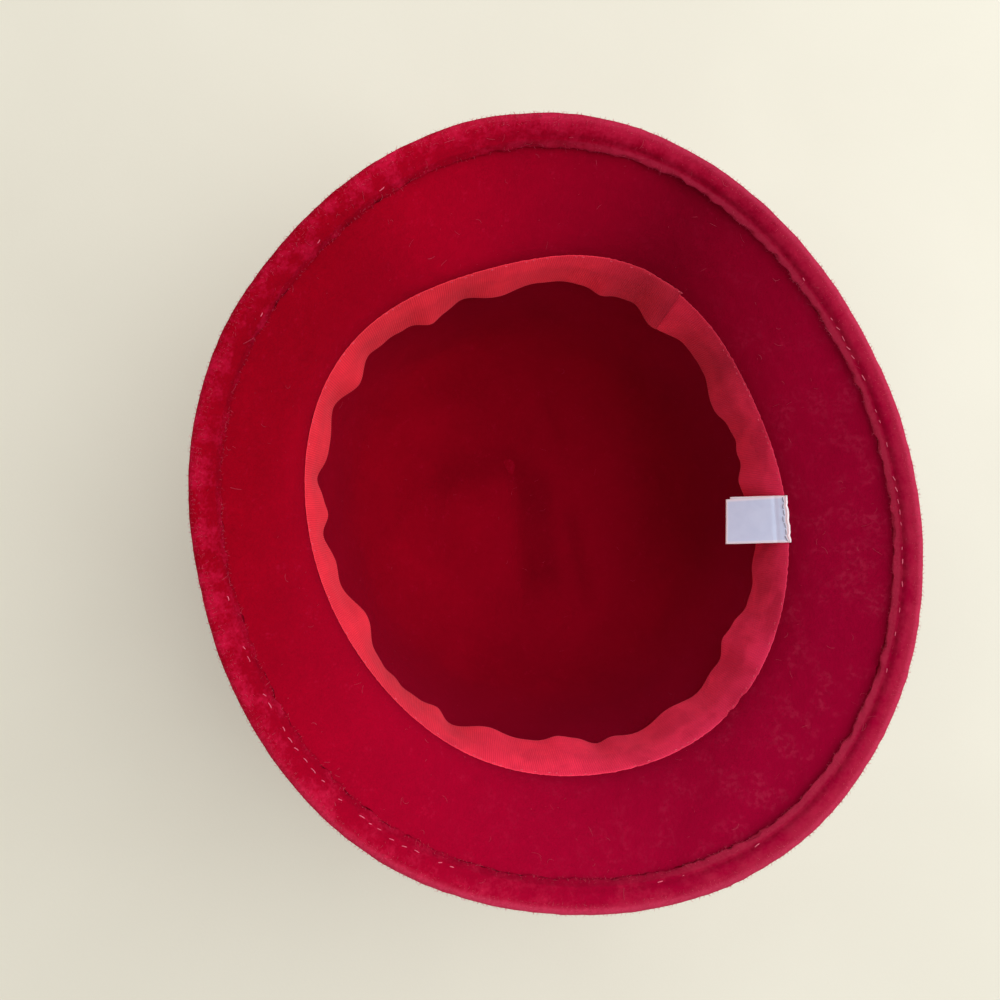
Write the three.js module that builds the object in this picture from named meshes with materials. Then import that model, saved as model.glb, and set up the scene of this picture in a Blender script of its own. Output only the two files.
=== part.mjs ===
// A felt cloche hat standing upside down on the flattened tip of its crown, open side up.
// Units are millimetres, +Z is up and +Y runs along the long axis of the head oval.
//
// Pieces:
//   felt_body  crown, brim and folded hem, blocked from one piece of felt
//   sweatband  ribbed ribbon sewn round the head line by one edge, its other edge free
//   label      ribbon folded into two leaves and sewn by its fold to the edge of the sweatband

import * as THREE from 'three';
import { mergeVertices } from 'three/addons/utils/BufferGeometryUtils.js';

const { degToRad, lerp, smoothstep } = THREE.MathUtils;

// Clearance kept between pieces that touch on the real hat
const CLEARANCE = 0.3;

// Head oval, length over width. A radius below is the mean one of its oval.
const OVAL_RATIO = 1.112;

// Felt wall, along the middle of its thickness
const FELT_THICKNESS = 2;
const REST_RADIUS = 30;
const DOME_RADIUS = 88;
const DOME_DEPTH = 62;
const HEAD_RADIUS = 92.1;
const WALL_FOOT_HEIGHT = 96;
const BRIM_ROOT_HEIGHT = 113;
const BRIM_ROOT_LIFT = 7.5;
const BRIM_EDGE_RADIUS = 120.7;
const BRIM_EDGE_HEIGHT = 147.1;
const BRIM_EDGE_SLOPE = 42;
const BRIM_EDGE_REACH = 24;

// Hem, folded to the underside of the brim and stitched down
const HEM_WIDTH = 7.8;
const HEM_SLIT = 0.3;
const HEM_PUFF = 0.6;
const STITCH_FROM_FOLD = 5;
const STITCH_GROOVE = 0.45;
const STITCH_GROOVE_HALF = 1.2;
const RAW_EDGE_ROUND = 0.6;

// Slow waves of the two outlines, each with its number of crests round the hat
const HEAD_LINE_HEIGHT = 116;
const HEAD_LINE_WAVES = [
  { crests: 2, rise: 0.35, firstCrest: -36 },
  { crests: 3, rise: 1.85, firstCrest: 38 },
  { crests: 4, rise: 1.7, firstCrest: 41 },
  { crests: 5, rise: 0.65, firstCrest: -21 },
  { crests: 6, rise: 0.55, firstCrest: -9 },
];
const BRIM_WAVES = [
  { crests: 1, rise: 1.1, firstCrest: -144 },
  { crests: 3, rise: 1.4, firstCrest: -56 },
  { crests: 4, rise: 0.6, firstCrest: 40 },
  { crests: 5, rise: 0.6, firstCrest: -4 },
];
const WAVE_START_HEIGHT = 20;

// Sweatband, with the lean of its free edge at each fold and in the hollow after it
const BAND_THICKNESS = 1;
const BAND_DROP = 24.5;
const BAND_LEAN_POWER = 1.2;
const BAND_LAP_ANGLE = 37;
const BAND_LAP_SPAN = 5;
const BAND_LAP_RAMP = 7;
const BAND_FOLDS = [
  { crest: 11.5, lean: 4.4, hollow: 19, hollowLean: 0.7 },
  { crest: 24, lean: 0.7, hollow: 28.5, hollowLean: 0.55 },
  { crest: 37.5, lean: 5.2, hollow: 46, hollowLean: 1.7 },
  { crest: 53.5, lean: 4.0, hollow: 62, hollowLean: 1.2 },
  { crest: 66, lean: 1.4, hollow: 70, hollowLean: 1.2 },
  { crest: 79.5, lean: 4.2, hollow: 90, hollowLean: 1.8 },
  { crest: 99, lean: 5.7, hollow: 106, hollowLean: 2.5 },
  { crest: 109, lean: 2.5, hollow: 115.5, hollowLean: 1.7 },
  { crest: 123.5, lean: 5.1, hollow: 132, hollowLean: 1.0 },
  { crest: 141.5, lean: 3.5, hollow: 149.5, hollowLean: 0.55 },
  { crest: 157, lean: 3.5, hollow: 164, hollowLean: 0.7 },
  { crest: 170.5, lean: 3.3, hollow: 176.5, hollowLean: 1.6 },
  { crest: 186, lean: 6.0, hollow: 199, hollowLean: 0.55 },
  { crest: 204, lean: 0.55, hollow: 210, hollowLean: 0.55 },
  { crest: 218, lean: 2.4, hollow: 222.5, hollowLean: 0.55 },
  { crest: 234, lean: 5.1, hollow: 242, hollowLean: 3.5 },
  { crest: 252.5, lean: 5.8, hollow: 261, hollowLean: 1.9 },
  { crest: 265.5, lean: 2.9, hollow: 271, hollowLean: 1.2 },
  { crest: 279, lean: 3.9, hollow: 288, hollowLean: 1.6 },
  { crest: 294, lean: 2.4, hollow: 297, hollowLean: 2.4 },
  { crest: 303.5, lean: 5.3, hollow: 317, hollowLean: 0.55 },
  { crest: 325, lean: 1.1, hollow: 331, hollowLean: 0.55 },
  { crest: 347, lean: 4.6, hollow: 354, hollowLean: 1.8 },
  { crest: 356, lean: 1.8, hollow: 360, hollowLean: 0.8 },
];

// Label, from its sewn fold, which lies just past the sweatband's edge, to the free ends of its two
// leaves. They twist towards those ends.
const LABEL_ANGLE = -23.1;
const LABEL_WIDTH = 17.5;
const LABEL_LENGTH = 25.4;
const LABEL_BACK_SHORTER = 1.5;
const LABEL_BACK_ASKEW = 0.9;
const LABEL_THICKNESS = 0.6;
const LABEL_SLIT = 0.3;
const LABEL_TOP_HEIGHT = 120;
const LABEL_SEWN_LENGTH = 0.4;
const LABEL_BEND_RADIUS = 2;
const LABEL_DROOP = 53.5;
const LABEL_TWIST = 6;
const LABEL_STAND_OFF = 0.2;

// Facets of each curved stretch
const BODY_SEGMENTS = 80;
const DOME_FACETS = 10;
const WALL_FACETS = 3;
const BRIM_FACETS = 6;
const FOLD_FACETS = 4;
const BAND_SEGMENTS = 120;
const BAND_ROWS = 4;
const LABEL_BEND_FACETS = 4;
const LABEL_FOLD_FACETS = 5;

const WELD_TOLERANCE = 1e-4;

// Finishes, in the colours of the hat
const FELT_FINISH = { color: '#9a0218', roughness: 0.95, metalness: 0 };
const BAND_FINISH = { color: '#c4263a', roughness: 0.75, metalness: 0 };
const LABEL_FINISH = { color: '#dfdfea', roughness: 0.5, metalness: 0 };

// Radius of the head oval in one direction, for an oval of mean radius 1.
function ovalFactor(angle) {
  const across = Math.cos(angle) * Math.sqrt(OVAL_RATIO);
  const along = Math.sin(angle) / Math.sqrt(OVAL_RATIO);
  return 1 / Math.hypot(across, along);
}

function waveHeight(waves, angle) {
  let sum = 0;
  for (const { crests, rise, firstCrest } of waves) {
    sum += rise * Math.cos(crests * (angle - degToRad(firstCrest)));
  }
  return sum;
}

// The place of a point that lies on the hat's surfaces of revolution at radius, height and angle.
// The head line waves grow up the crown, and turn into the brim's waves from the head line on.
function onHat(radius, height, angle) {
  const crownShare = smoothstep(height, WAVE_START_HEIGHT, HEAD_LINE_HEIGHT);
  const brimShare = smoothstep(height, HEAD_LINE_HEIGHT, BRIM_EDGE_HEIGHT);
  const headWave = crownShare * waveHeight(HEAD_LINE_WAVES, angle);
  const wave = lerp(headWave, waveHeight(BRIM_WAVES, angle), brimShare);
  const reach = radius * ovalFactor(angle) + wave * Math.min(1, radius / HEAD_RADIUS);
  return new THREE.Vector3(reach * Math.cos(angle), reach * Math.sin(angle), height);
}

// Welds coincident corners and drops the empty triangles that this leaves at a pole.
function weld(geometry) {
  geometry.deleteAttribute('normal');
  geometry.deleteAttribute('uv');
  const welded = mergeVertices(geometry, WELD_TOLERANCE);
  const corners = welded.index.array;
  const kept = [];
  for (let i = 0; i < corners.length; i += 3) {
    const [a, b, c] = corners.subarray(i, i + 3);
    if (a !== b && b !== c && c !== a) kept.push(a, b, c);
  }
  welded.setIndex(kept);
  welded.computeVertexNormals();
  return welded;
}

// Moves every corner of a geometry to the place that a function gives for it.
function reshape(geometry, place) {
  const position = geometry.attributes.position;
  const corner = new THREE.Vector3();
  for (let i = 0; i < position.count; i += 1) {
    corner.fromBufferAttribute(position, i);
    const moved = place(corner);
    position.setXYZ(i, moved.x, moved.y, moved.z);
  }
  return weld(geometry);
}

function piece(name, geometry, finish) {
  const mesh = new THREE.Mesh(geometry, new THREE.MeshStandardMaterial(finish));
  mesh.name = name;
  return mesh;
}

// The felt's midline curves in the plane of radius and height, from the tip of the crown to the edge
// of the brim.
function feltCurves() {
  const restAngle = Math.asin(REST_RADIUS / DOME_RADIUS);
  const domeCentre = FELT_THICKNESS / 2 + DOME_DEPTH * Math.cos(restAngle);
  const dome = new THREE.EllipseCurve(
    0, domeCentre, DOME_RADIUS, DOME_DEPTH, restAngle - Math.PI / 2, 0,
  );
  const wall = new THREE.CubicBezierCurve(
    new THREE.Vector2(DOME_RADIUS, domeCentre),
    new THREE.Vector2(DOME_RADIUS, lerp(domeCentre, WALL_FOOT_HEIGHT, 1 / 3)),
    new THREE.Vector2(HEAD_RADIUS, lerp(domeCentre, WALL_FOOT_HEIGHT, 2 / 3)),
    new THREE.Vector2(HEAD_RADIUS, WALL_FOOT_HEIGHT),
  );
  const slope = degToRad(BRIM_EDGE_SLOPE);
  const edge = new THREE.Vector2(BRIM_EDGE_RADIUS, BRIM_EDGE_HEIGHT);
  const brim = new THREE.CubicBezierCurve(
    new THREE.Vector2(HEAD_RADIUS, BRIM_ROOT_HEIGHT),
    new THREE.Vector2(HEAD_RADIUS, BRIM_ROOT_HEIGHT + BRIM_ROOT_LIFT),
    edge.clone().addScaledVector(new THREE.Vector2(Math.cos(slope), Math.sin(slope)), -BRIM_EDGE_REACH),
    edge,
  );
  return { dome, wall, brim };
}

// A point of a curve moved towards the hollow side of the hat by an offset.
function beside(curve, share, offset) {
  const tangent = curve.getTangentAt(share);
  const normal = new THREE.Vector2(-tangent.y, tangent.x);
  return curve.getPointAt(share).addScaledVector(normal, offset);
}

// One face of the felt from the axis to the brim's edge. The dome starts at the rest's edge and the
// wall at the dome's end, so the first points of those two are there already.
function feltFace({ dome, wall, brim }, offset) {
  const restHeight = FELT_THICKNESS / 2 + offset;
  const points = [new THREE.Vector2(0, restHeight), new THREE.Vector2(REST_RADIUS, restHeight)];
  const stretches = [
    { curve: dome, first: 1, facets: DOME_FACETS },
    { curve: wall, first: 1, facets: WALL_FACETS },
    { curve: brim, first: 0, facets: BRIM_FACETS },
  ];
  for (const { curve, first, facets } of stretches) {
    for (let i = first; i <= facets; i += 1) {
      points.push(beside(curve, i / facets, offset));
    }
  }
  return points;
}

// Height of the hem's face over its plain felt: puffed between fold and stitches, and pressed in at the
// stitches.
function hemRelief(fromFold) {
  const puff = HEM_PUFF * Math.sin(Math.PI * Math.min(1, fromFold / STITCH_FROM_FOLD));
  const fromStitch = Math.abs(fromFold - STITCH_FROM_FOLD);
  const groove = STITCH_GROOVE * Math.max(0, 1 - fromStitch / STITCH_GROOVE_HALF);
  return puff - groove;
}

// The hem from the brim's outer face, round the fold, along the flap to its raw edge and back down
// the slit.
function hemProfile(brim) {
  const half = FELT_THICKNESS / 2;
  const foldRadius = half + HEM_SLIT / 2;
  const brimLength = brim.getLength();
  const tangent = brim.getTangentAt(1);
  const heading = tangent.angle();
  const centre = beside(brim, 1, foldRadius);
  const points = [];
  for (let i = 1; i <= FOLD_FACETS; i += 1) {
    const turn = heading + Math.PI * (i / FOLD_FACETS - 1 / 2);
    const rim = new THREE.Vector2(Math.cos(turn), Math.sin(turn));
    points.push(centre.clone().addScaledVector(rim, foldRadius + half));
  }
  const flapFace = FELT_THICKNESS + HEM_SLIT + half;
  const flapMarks = [
    STITCH_FROM_FOLD / 3,
    (STITCH_FROM_FOLD * 2) / 3,
    STITCH_FROM_FOLD - STITCH_GROOVE_HALF,
    STITCH_FROM_FOLD,
    STITCH_FROM_FOLD + STITCH_GROOVE_HALF,
    HEM_WIDTH - RAW_EDGE_ROUND,
  ];
  for (const fromFold of flapMarks) {
    points.push(beside(brim, 1 - fromFold / brimLength, flapFace + hemRelief(fromFold)));
  }
  const rawEdge = 1 - HEM_WIDTH / brimLength;
  points.push(beside(brim, rawEdge, flapFace - RAW_EDGE_ROUND));
  points.push(beside(brim, rawEdge, half + HEM_SLIT));
  points.push(beside(brim, 1, half + HEM_SLIT));
  points.push(centre.clone().addScaledVector(tangent, HEM_SLIT / 2));
  return points;
}

// Crown, brim and hem: one closed profile turned round the hat's axis, then brought to the oval and
// its waves.
function feltBody() {
  const curves = feltCurves();
  const outer = feltFace(curves, -FELT_THICKNESS / 2);
  const inner = feltFace(curves, FELT_THICKNESS / 2).reverse();
  const profile = [...outer, ...hemProfile(curves.brim), ...inner];
  const turned = new THREE.LatheGeometry(profile, BODY_SEGMENTS);
  const geometry = reshape(turned, ({ x, y, z }) => onHat(Math.hypot(x, z), y, Math.atan2(x, z)));
  return piece('felt_body', geometry, FELT_FINISH);
}

// How far the sweatband's free edge leans into the hat at an angle in degrees.
function bandLean(degrees) {
  const marks = BAND_FOLDS.flatMap(({ crest, lean, hollow, hollowLean }) => [
    { at: crest, lean },
    { at: hollow, lean: hollowLean },
  ]);
  const last = marks[marks.length - 1];
  const angle = ((degrees % 360) + 360) % 360;
  let before = { at: last.at - 360, lean: last.lean };
  for (const after of marks) {
    if (angle <= after.at) return lerp(before.lean, after.lean, smoothstep(angle, before.at, after.at));
    before = after;
  }
  return last.lean;
}

// A strip bent round inside the head line. Its start laps over its own end.
function sweatband() {
  const strip = new THREE.BoxGeometry(1, 1, 1, BAND_SEGMENTS, BAND_ROWS, 1);
  const wallRadius = HEAD_RADIUS - FELT_THICKNESS / 2 - CLEARANCE;
  const geometry = reshape(strip, ({ x, y, z }) => {
    const along = (x + 0.5) * (360 + BAND_LAP_SPAN);
    const down = y + 0.5;
    const inward = (z + 0.5) * BAND_THICKNESS;
    const lapShare = 1 - smoothstep(along, BAND_LAP_SPAN, BAND_LAP_SPAN + BAND_LAP_RAMP);
    const lap = lapShare * (BAND_THICKNESS + CLEARANCE);
    const degrees = BAND_LAP_ANGLE + along;
    const lean = bandLean(degrees) * down ** BAND_LEAN_POWER;
    const height = HEAD_LINE_HEIGHT - down * BAND_DROP;
    return onHat(wallRadius - lean - lap - inward, height, degToRad(degrees));
  });
  return piece('sweatband', geometry, BAND_FINISH);
}

// One leaf of the label as stations from its sewn end to its free end, stood off by an offset. x runs
// into the hat and y is the height. The normal is to the upper side and along is the length so far.
function labelLeaf(offset, length) {
  const droop = degToRad(LABEL_DROOP);
  const bend = Math.PI / 2 - droop;
  const sewnTop = LABEL_TOP_HEIGHT - LABEL_THICKNESS - LABEL_SLIT / 2;
  const bendCentre = new THREE.Vector2(LABEL_BEND_RADIUS, sewnTop - LABEL_SEWN_LENGTH);
  const stations = [
    { point: new THREE.Vector2(offset, sewnTop), normal: new THREE.Vector2(1, 0), along: 0 },
  ];
  for (let i = 0; i <= LABEL_BEND_FACETS; i += 1) {
    const turn = (bend * i) / LABEL_BEND_FACETS;
    const normal = new THREE.Vector2(Math.cos(turn), Math.sin(turn));
    const point = bendCentre.clone().addScaledVector(normal, offset - LABEL_BEND_RADIUS);
    stations.push({ point, normal, along: LABEL_SEWN_LENGTH + turn * LABEL_BEND_RADIUS });
  }
  const bendEnd = stations[stations.length - 1];
  const heading = new THREE.Vector2(Math.cos(droop), -Math.sin(droop));
  const freeEnd = bendEnd.point.clone().addScaledVector(heading, length - bendEnd.along);
  stations.push({ point: freeEnd, normal: bendEnd.normal, along: length });
  return stations;
}

// Stations along the label's folded strip: up the back leaf, over the sewn fold and down the front leaf.
// Each normal points out of the fold. Both leaves twist and the back one runs askew towards its free end.
function labelStations() {
  const apart = LABEL_THICKNESS + LABEL_SLIT;
  const back = labelLeaf(0, LABEL_LENGTH - LABEL_BACK_SHORTER);
  const front = labelLeaf(apart, LABEL_LENGTH);
  const foldCentre = back[0].point.clone().lerp(front[0].point, 1 / 2);
  const twistEach = Math.tan(degToRad(LABEL_TWIST)) / LABEL_LENGTH;
  const backStations = back.map(({ point, normal, along }) => ({
    point,
    normal: normal.clone().negate(),
    askew: (LABEL_BACK_ASKEW * along) / LABEL_LENGTH,
    twist: twistEach * along,
  }));
  const foldStations = [];
  for (let i = 1; i < LABEL_FOLD_FACETS; i += 1) {
    const turn = Math.PI * (1 - i / LABEL_FOLD_FACETS);
    const normal = new THREE.Vector2(Math.cos(turn), Math.sin(turn));
    const point = foldCentre.clone().addScaledVector(normal, apart / 2);
    foldStations.push({ point, normal, askew: 0, twist: 0 });
  }
  const frontStations = front.map(({ point, normal, along }) => ({
    point,
    normal,
    askew: 0,
    twist: twistEach * along,
  }));
  return [...backStations.reverse(), ...foldStations, ...frontStations];
}

// The label's strip, bent along its stations and set against the sweatband.
function label() {
  const stations = labelStations();
  const strip = new THREE.BoxGeometry(1, 1, 1, stations.length - 1, 1, 1);
  const angle = degToRad(LABEL_ANGLE);
  const bandFace = HEAD_RADIUS - FELT_THICKNESS / 2 - CLEARANCE - BAND_THICKNESS;
  const halfSpan = LABEL_WIDTH / 2 / HEAD_RADIUS;
  const across = onHat(bandFace, HEAD_LINE_HEIGHT, angle - halfSpan)
    .sub(onHat(bandFace, HEAD_LINE_HEIGHT, angle + halfSpan))
    .normalize();
  const inward = new THREE.Vector3(across.y, -across.x, 0);
  const seat = onHat(bandFace, HEAD_LINE_HEIGHT, angle).addScaledVector(inward, LABEL_STAND_OFF);
  const geometry = reshape(strip, ({ x, y, z }) => {
    const station = stations[Math.round((x + 0.5) * (stations.length - 1))];
    const flat = station.point.clone().addScaledVector(station.normal, z * LABEL_THICKNESS);
    const side = y * LABEL_WIDTH;
    return new THREE.Vector3(seat.x, seat.y, flat.y)
      .addScaledVector(inward, flat.x + side * station.twist)
      .addScaledVector(across, side - station.askew);
  });
  return piece('label', geometry, LABEL_FINISH);
}

// The whole hat, with the middle of its base at the origin.
function clocheHat() {
  const hat = new THREE.Group();
  hat.add(feltBody(), sweatband(), label());
  const box = new THREE.Box3().setFromObject(hat);
  const middle = box.getCenter(new THREE.Vector3());
  hat.position.set(-middle.x, -middle.y, -box.min.z);
  return hat;
}

export default clocheHat();
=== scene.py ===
"""Looks of a red wool felt cloche hat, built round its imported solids.

The hat stands upside down on the flattened tip of its crown, open side up. Sizes are in millimetres
and angles in degrees, unless a docstring says otherwise, and MM brings sizes to metres.
"""

import logging
import math
from dataclasses import dataclass, field, fields
from enum import Enum

import bpy
import numpy as np
from mathutils import Matrix, Vector


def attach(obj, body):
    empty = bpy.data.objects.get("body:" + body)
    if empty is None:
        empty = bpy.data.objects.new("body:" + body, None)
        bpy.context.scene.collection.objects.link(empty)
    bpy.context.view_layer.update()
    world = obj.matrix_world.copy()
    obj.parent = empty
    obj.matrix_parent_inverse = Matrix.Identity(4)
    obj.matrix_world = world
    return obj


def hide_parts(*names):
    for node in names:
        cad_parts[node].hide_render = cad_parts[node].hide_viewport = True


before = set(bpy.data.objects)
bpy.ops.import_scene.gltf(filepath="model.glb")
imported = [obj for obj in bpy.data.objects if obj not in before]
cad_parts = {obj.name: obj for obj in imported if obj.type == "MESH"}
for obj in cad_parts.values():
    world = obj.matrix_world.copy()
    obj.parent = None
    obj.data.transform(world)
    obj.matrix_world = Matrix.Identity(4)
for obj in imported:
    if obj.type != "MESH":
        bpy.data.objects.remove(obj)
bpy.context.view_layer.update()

Array = np.ndarray
Span = tuple[float, float]
Point = tuple[float, float, float]
Colour = tuple[float, float, float]
Socket = bpy.types.NodeSocket

MM = 0.001
TINY = 1e-9
FULL_TURN = 2 * math.pi
QUARTER_TURN = math.pi / 2
LOG = logging.getLogger("cloche_hat")


class Slot(Enum):
    """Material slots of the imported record."""

    FELT = "felt"
    RIBBON = "ribbon"
    LABEL = "label_satin"


class Hold(Enum):
    """Ways in which a sheet of cloth is held."""

    GATHERED = "gathered"
    FOLDED = "folded"


class Mask(Enum):
    """Point attributes that finishes read from a mesh."""

    # Raised nap, and on the hem's lit side a painted highlight.
    NAP = "raised_nap"
    # Painted shade in the stitch groove.
    GROOVE = "stitch_groove"
    # Painted light and shade by place.
    TONE = "turned_nap"
    # Pale rubbed rim with a painted highlight on the lit side.
    RUBBED = "rubbed_rim"
    SELVEDGE = "selvedge"
    ALONG = "cloth_along"
    ACROSS = "cloth_across"


class Dye(Enum):
    """Dyes of threads and loose fibres: the finish's name, its shade and its lit face."""

    HEM = ("hem_thread", (0.54, 0.060, 0.115), (0.74, 0.150, 0.220))
    FUZZ = ("wool_fuzz", (0.42, 0.012, 0.036), (0.66, 0.095, 0.155))
    NAP = ("wool_nap", (0.34, 0.006, 0.025), (0.52, 0.048, 0.090))
    LINT = ("wool_lint", (0.42, 0.018, 0.050), (0.60, 0.075, 0.125))
    BAND = ("band_thread", (0.50, 0.020, 0.050), (0.80, 0.140, 0.200))
    LABEL = ("label_thread", (0.20, 0.19, 0.22), (0.36, 0.35, 0.40))


def smooth_step(value: Array, low: Array | float, high: Array | float) -> Array:
    """Rises smoothly from 0 at low to 1 at high."""
    share = np.clip((value - low) / (high - low), 0.0, 1.0)
    return share * share * (3.0 - 2.0 * share)


def mix(first: Array | float, second: Array | float, share: Array) -> Array:
    """Goes from first, where the share is 0, to second, where it is 1."""
    return first + (second - first) * share


def bell(value: Array, middle: float, half_width: float) -> Array:
    """A smooth bump of height 1 about a middle."""
    return np.exp(-(((value - middle) / half_width) ** 2))


def unit(vectors: Array) -> Array:
    """Vectors brought to length 1."""
    return vectors / np.maximum(np.linalg.norm(vectors, axis=-1, keepdims=True), TINY)


def bezier(points: list[Span], count: int) -> Array:
    """Samples a cubic curve in a plane.

    Args:
        points: The curve's four control points.
        count: How many samples to take, both ends included.

    Returns:
        The samples, one row each.
    """
    share = np.linspace(0.0, 1.0, count)[:, None]
    weights = [(1 - share) ** 3, 3 * share * (1 - share) ** 2, 3 * share**2 * (1 - share), share**3]
    return sum(weight * np.array(point) for weight, point in zip(weights, points))


class Line:
    """A line of points in a plane, read by the distance along it."""

    def __init__(self, points: Array) -> None:
        """Measures the line.

        Args:
            points: Points in order, one row each, close together.
        """
        steps = np.linalg.norm(np.diff(points, axis=0), axis=1)
        kept = np.concatenate([[True], steps > TINY])
        self.points = points[kept]
        self.reach = np.concatenate([[0.0], np.cumsum(steps[steps > TINY])])
        self.tangents = unit(np.gradient(self.points, self.reach, axis=0))

    @property
    def length(self) -> float:
        """The whole length of the line."""
        return float(self.reach[-1])

    def at(self, distance: Array, offset: Array | float = 0.0) -> Array:
        """Points at distances along the line, moved to its left by an offset."""
        place = self._read(self.points, distance)
        return place + self.left(distance) * np.asarray(offset)[..., None]

    def tangent(self, distance: Array) -> Array:
        """Headings of the line at distances along it."""
        return unit(self._read(self.tangents, distance))

    def left(self, distance: Array) -> Array:
        """Directions square to the line, to its left."""
        heading = self.tangent(distance)
        return np.stack([-heading[..., 1], heading[..., 0]], axis=-1)

    def _read(self, values: Array, distance: Array) -> Array:
        """Reads a row of values at each distance."""
        columns = [np.interp(distance, self.reach, values[:, i]) for i in range(2)]
        return np.stack(columns, axis=-1)


@dataclass(frozen=True)
class Unevenness:
    """A smooth random relief through space, of mean 0 and spread 1, the same on every run."""

    wavelength: float
    seed: int
    waves: int = 28
    stretch: Span = (0.7, 1.5)

    def at(self, points: Array) -> Array:
        """Reads the relief.

        Args:
            points: Points in the hat.

        Returns:
            The relief's height at each point.
        """
        draw = np.random.default_rng(self.seed)
        heading = unit(draw.normal(size=(self.waves, 3)))
        number = FULL_TURN / (self.wavelength * draw.uniform(*self.stretch, self.waves))
        phase = draw.uniform(0.0, FULL_TURN, self.waves)
        turns = points @ (heading * number[:, None]).T + phase
        return np.cos(turns).sum(axis=-1) * math.sqrt(2.0 / self.waves)


@dataclass(frozen=True)
class Wave:
    """A slow wave of an outline round the hat."""

    crests: int
    rise: float
    first_crest: float

    def at(self, angle: Array) -> Array:
        """Height of the wave at angles in radians."""
        return self.rise * np.cos(self.crests * (angle - math.radians(self.first_crest)))


@dataclass(frozen=True)
class Stretch:
    """A stretch round the hat where a tone, a size or a chance is greater, or smaller if below 0."""

    angle: float
    half_width: float
    amount: float

    def at(self, angle: Array) -> Array:
        """The amount at angles in radians, which fades to both sides."""
        away = np.mod(np.degrees(angle) - self.angle + 180.0, 360.0) - 180.0
        return self.amount * bell(away, 0.0, self.half_width)


def total(shapes: tuple[Wave | Stretch, ...], angle: Array) -> Array:
    """Sum of waves and stretches at angles in radians."""
    return sum(shape.at(angle) for shape in shapes)


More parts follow.
